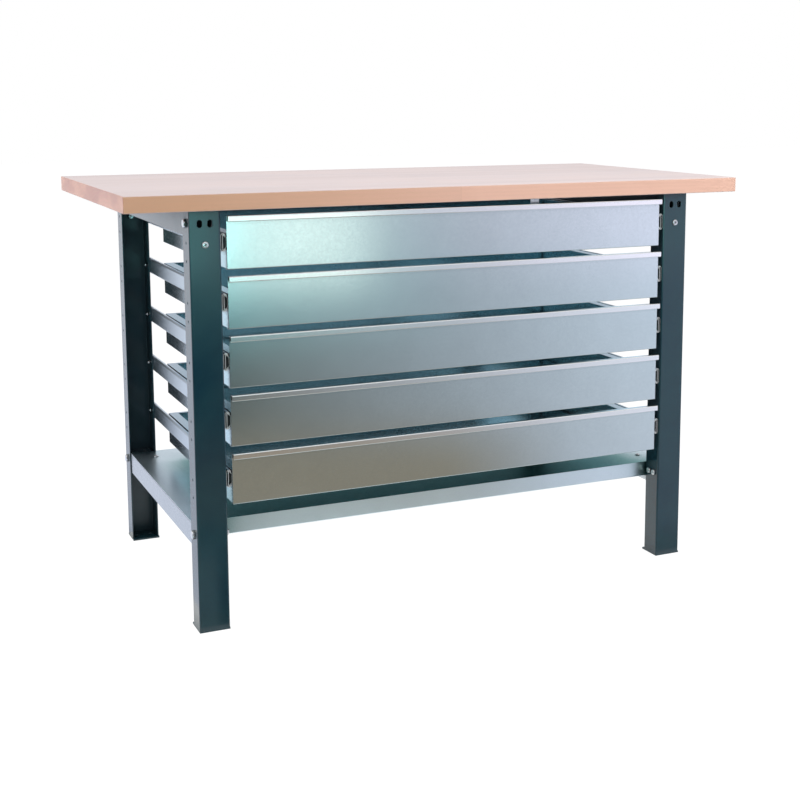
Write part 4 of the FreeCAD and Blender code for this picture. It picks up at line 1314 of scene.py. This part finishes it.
@dataclass
class Studio:
    """Floor, cards, lamps, world and camera."""

    eye: Triple = (-1.296, -3.092, 1.149)
    heading: float = 25.122
    dip: float = 8.275
    lens: float = 1347.8 / 800
    centre: Pair = (452.5, 289.7)
    picture: float = 800.0
    floor_size: float = 40.0
    floor_tone: float = 0.86
    floor_glow: float = 1.12
    glow_share: float = 0.86
    front_near: Pair = (-9.0, -14.0)
    front_far: Pair = (9.0, -0.02)
    card_reach: float = 16.0
    card_lap: float = 0.10
    card_height: float = 0.003
    wall_radius: float = 16.5
    wall_height: float = 8.0
    matt_light: float = 0.40

    def build(self) -> None:
        """Set up everything round the bench."""
        self.floor()
        self.cards()
        self.world()
        self.lamp("top_lamp", (0.2, -0.4, 3.4), aim=0.5, size=3.2, watts=62)
        self.lamp("right_lamp", (2.3, -2.3, 2.4), aim=0.6, size=1.6, watts=66)
        self.lamp("left_lamp", (-3.2, 0.6, 1.9), aim=0.5, size=2.4, watts=58)
        self.camera()
        LOG.info("studio ready")

    @staticmethod
    def bare(name: str, piece: Piece) -> Graph:
        """Give a stage piece a material without nodes.

        Args:
            name: name of the material.
            piece: the stage piece.

        Returns:
            The material's graph.
        """
        material = bpy.data.materials.new(name)
        material.use_nodes = True
        material.node_tree.nodes.clear()
        piece.data.materials.append(material)
        piece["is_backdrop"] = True
        return Graph(material.node_tree)

    @staticmethod
    def seen(graph: Graph) -> Socket:
        """Give 1 for rays from the camera, a mirror or glass, and 0 for the rest.

        Args:
            graph: the graph to wire.

        Returns:
            The socket of the value.
        """
        path = graph.node("LightPath").outputs
        both = graph.maths("MAXIMUM", path["Is Camera Ray"], path["Is Glossy Ray"])
        return graph.maths("MAXIMUM", both, path["Is Transmission Ray"])

    def floor(self) -> None:
        """White floor that keeps a soft shadow."""
        floor = Blank.cast("floor", bpy.ops.mesh.primitive_plane_add, size=self.floor_size).piece
        graph = self.bare("white_floor", floor)
        floor.active_material.cycles.emission_sampling = "NONE"
        matt = graph.node("BsdfDiffuse", {"Color": (self.floor_tone,) * 3 + (1,)})
        glow = graph.node("Emission", {"Color": WHITE, "Strength": self.floor_glow})
        share = graph.times(self.seen(graph), self.glow_share)
        mixed = graph.node("MixShader", {0: share, 1: matt.outputs[0], 2: glow.outputs[0]})
        graph.node("OutputMaterial", {"Surface": mixed.outputs[0]})

    def cards(self) -> None:
        """Cards on the floor and a low wall, which only show in the metal."""
        low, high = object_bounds()
        front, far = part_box("leg_front_left")[0].y, self.card_reach
        left, right = low.x + self.card_lap, high.x - self.card_lap
        self.card("front_card", "front_tones", self.front_near,
                  (self.front_far[0], front + self.front_far[1]), self.front_tones)
        for name, near, end in (("left_card", (-far, low.y), (left, far)),
                                ("right_card", (right, low.y), (far, far)),
                                ("rear_card", (left, high.y), (right, far))):
            self.card(name, name + "_tone", near, end, self.side_tones)
        wall = Blank.cast("low_wall", bpy.ops.mesh.primitive_cylinder_add, vertices=96,
                          radius=self.wall_radius, depth=self.wall_height,
                          end_fill_type="NOTHING", location=(0, 0, self.wall_height / 2))
        self.glow("wall_tone", wall.piece, self.wall_tones)

    def card(self, name: str, material: str, near: Pair, far: Pair,
             tones: Callable[[Graph], Socket]) -> None:
        """Lay a card on the floor.

        Args:
            name: name of the card.
            material: name of its material.
            near: its least X and Y.
            far: its greatest X and Y.
            tones: wires its colour.
        """
        card = Blank.cast(
            name, bpy.ops.mesh.primitive_plane_add, size=1,
            location=((near[0] + far[0]) / 2, (near[1] + far[1]) / 2, self.card_height),
            scale=(far[0] - near[0], far[1] - near[1], 1))
        self.glow(material, card.piece, tones)

    def glow(self, name: str, piece: Piece, tones: Callable[[Graph], Socket]) -> None:
        """Make a stage piece glow and let it show in reflections and nowhere else.

        Args:
            name: name of the material.
            piece: the stage piece.
            tones: wires its colour.
        """
        graph = self.bare(name, piece)
        glow = graph.node("Emission", {"Color": tones(graph), "Strength": 1.0})
        graph.node("OutputMaterial", {"Surface": glow.outputs[0]})
        piece.visible_camera = piece.visible_diffuse = False
        piece.visible_shadow = piece.visible_transmission = False

    def front_tones(self, graph: Graph) -> Socket:
        """Colour of the front card by bearing and dip, with its patches on top.

        Args:
            graph: the graph to wire.

        Returns:
            The socket of the colour.
        """
        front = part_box("leg_front_left")[0].y
        angles = self.sight(graph, (self.eye[0], 2 * front - self.eye[1]))
        wall = self.tones(graph, Fade(BEARING, 14, 36).share(graph, angles),
                          FRONT_BY_BEARING)
        lift = self.tones(graph, Fade(DIP, 3, 21).share(graph, angles), FRONT_BY_DIP)
        colour = graph.blend(1.0, wall, lift, "MULTIPLY")
        for patch in FRONT_PATCHES:
            share = patch.fades[0].share(graph, angles)
            for fade in patch.fades[1:]:
                share = graph.times(share, fade.share(graph, angles))
            colour = graph.blend(share, colour, patch.tone + (1,), patch.mode)
            colour.node.label = patch.name
        return colour

    def side_tones(self, graph: Graph) -> Socket:
        """Colour of a side or rear card, paler away from the bench and to the rear.

        Args:
            graph: the graph to wire.

        Returns:
            The socket of the colour.
        """
        out = graph.node("VectorMath", {0: graph.place((1, 1, 0))},
                         operation="LENGTH").outputs["Value"]
        back = graph.split(graph.place())[1]
        shade = graph.plus(graph.spread(out, (0.6, 5.0), (0, 0.8)),
                           graph.spread(back, (0, 8), (0, 0.2)))
        return self.tones(graph, shade, SIDE_BY_DISTANCE)

    def wall_tones(self, graph: Graph) -> Socket:
        """Colour of the low wall, paler toward its top."""
        height = graph.split(graph.place())[2]
        return self.tones(graph, graph.spread(height, (0, self.wall_height)), WALL_BY_HEIGHT)

    def sight(self, graph: Graph, hub: Pair) -> tuple[Socket, Socket]:
        """Give the bearing and the dip at which a fixed point sees the card.

        Args:
            graph: the graph to wire.
            hub: X and Y of the point, which is as high as the eye.

        Returns:
            The bearing from the Y axis and the angle below level, in radians.
        """
        place = graph.split(graph.place())
        across = graph.maths("SUBTRACT", place[0], hub[0])
        away = graph.maths("SUBTRACT", hub[1], place[1])
        reach = graph.maths("SQRT", graph.plus(graph.times(across, across),
                                               graph.times(away, away)))
        return (graph.maths("ARCTAN2", across, away),
                graph.maths("ARCTAN2", self.eye[2], reach))

    @staticmethod
    def tones(graph: Graph, value: Socket, stops: Stops) -> Socket:
        """Turn a value into a colour along a ramp.

        Args:
            graph: the graph to wire.
            value: where on the ramp.
            stops: place and colour of each stop.

        Returns:
            The socket of the colour.
        """
        ramp = graph.node("ValToRGB", {0: value})
        elements = ramp.color_ramp.elements
        while len(elements) < len(stops):
            elements.new(0.5)
        for element, (spot, colour) in zip(elements, stops):
            element.position = spot
            element.color = (*colour, 1)
        return ramp.outputs[0]

    def world(self) -> None:
        """White surround, dimmer where it lights matt surfaces."""
        world = bpy.data.worlds.new("surround")
        world.use_nodes = True
        bpy.context.scene.world = world
        graph = Graph(world.node_tree)
        graph.tree.nodes.clear()
        strength = graph.spread(self.seen(graph), (0, 1), (self.matt_light, 1.0))
        light = graph.node("Background", {"Color": WHITE, "Strength": strength})
        graph.node("OutputWorld", {"Surface": light.outputs[0]})

    @staticmethod
    def lamp(name: str, at: Triple, aim: float, size: float, watts: float) -> None:
        """Hang one soft square lamp, which doesn't show in reflections.

        Args:
            name: name of the lamp.
            at: its place.
            aim: height of the point on the middle line of the bench that it faces.
            size: its side.
            watts: its power.
        """
        light = bpy.data.lights.new(name, "AREA")
        light.size = size
        light.energy = watts
        lamp = bpy.data.objects.new(name, light)
        lamp.location = at
        lamp.visible_glossy = False
        way = Vector((0, 0, aim)) - Vector(at)
        lamp.rotation_euler = way.to_track_quat("-Z", "Y").to_euler()
        bpy.context.scene.collection.objects.link(lamp)

    def camera(self) -> None:
        """Camera at the viewing angle of the bench."""
        view = bpy.data.cameras.new("camera")
        view.lens = self.lens * view.sensor_width
        view.shift_x = (self.picture / 2 - self.centre[0]) / self.picture
        view.shift_y = (self.centre[1] - self.picture / 2) / self.picture
        camera = bpy.data.objects.new("camera", view)
        camera.location = self.eye
        camera.rotation_euler = (math.radians(90 - self.dip), 0, -math.radians(self.heading))
        bpy.context.scene.collection.objects.link(camera)
        bpy.context.scene.camera = camera
        bpy.context.scene.view_settings.view_transform = "Standard"


def main() -> None:
    """Build the looks of the bench, one sub-assembly after another."""
    logging.basicConfig(level=logging.INFO, format="%(message)s")
    finishes = Finishes()
    for assembly in (Worktop, Frame, Shelf):
        assembly(finishes=finishes).build()
    for level in LEVELS:
        Drawer(finishes=finishes, level=level).build()
    Studio().build()


if __name__ == "__main__":
    main()
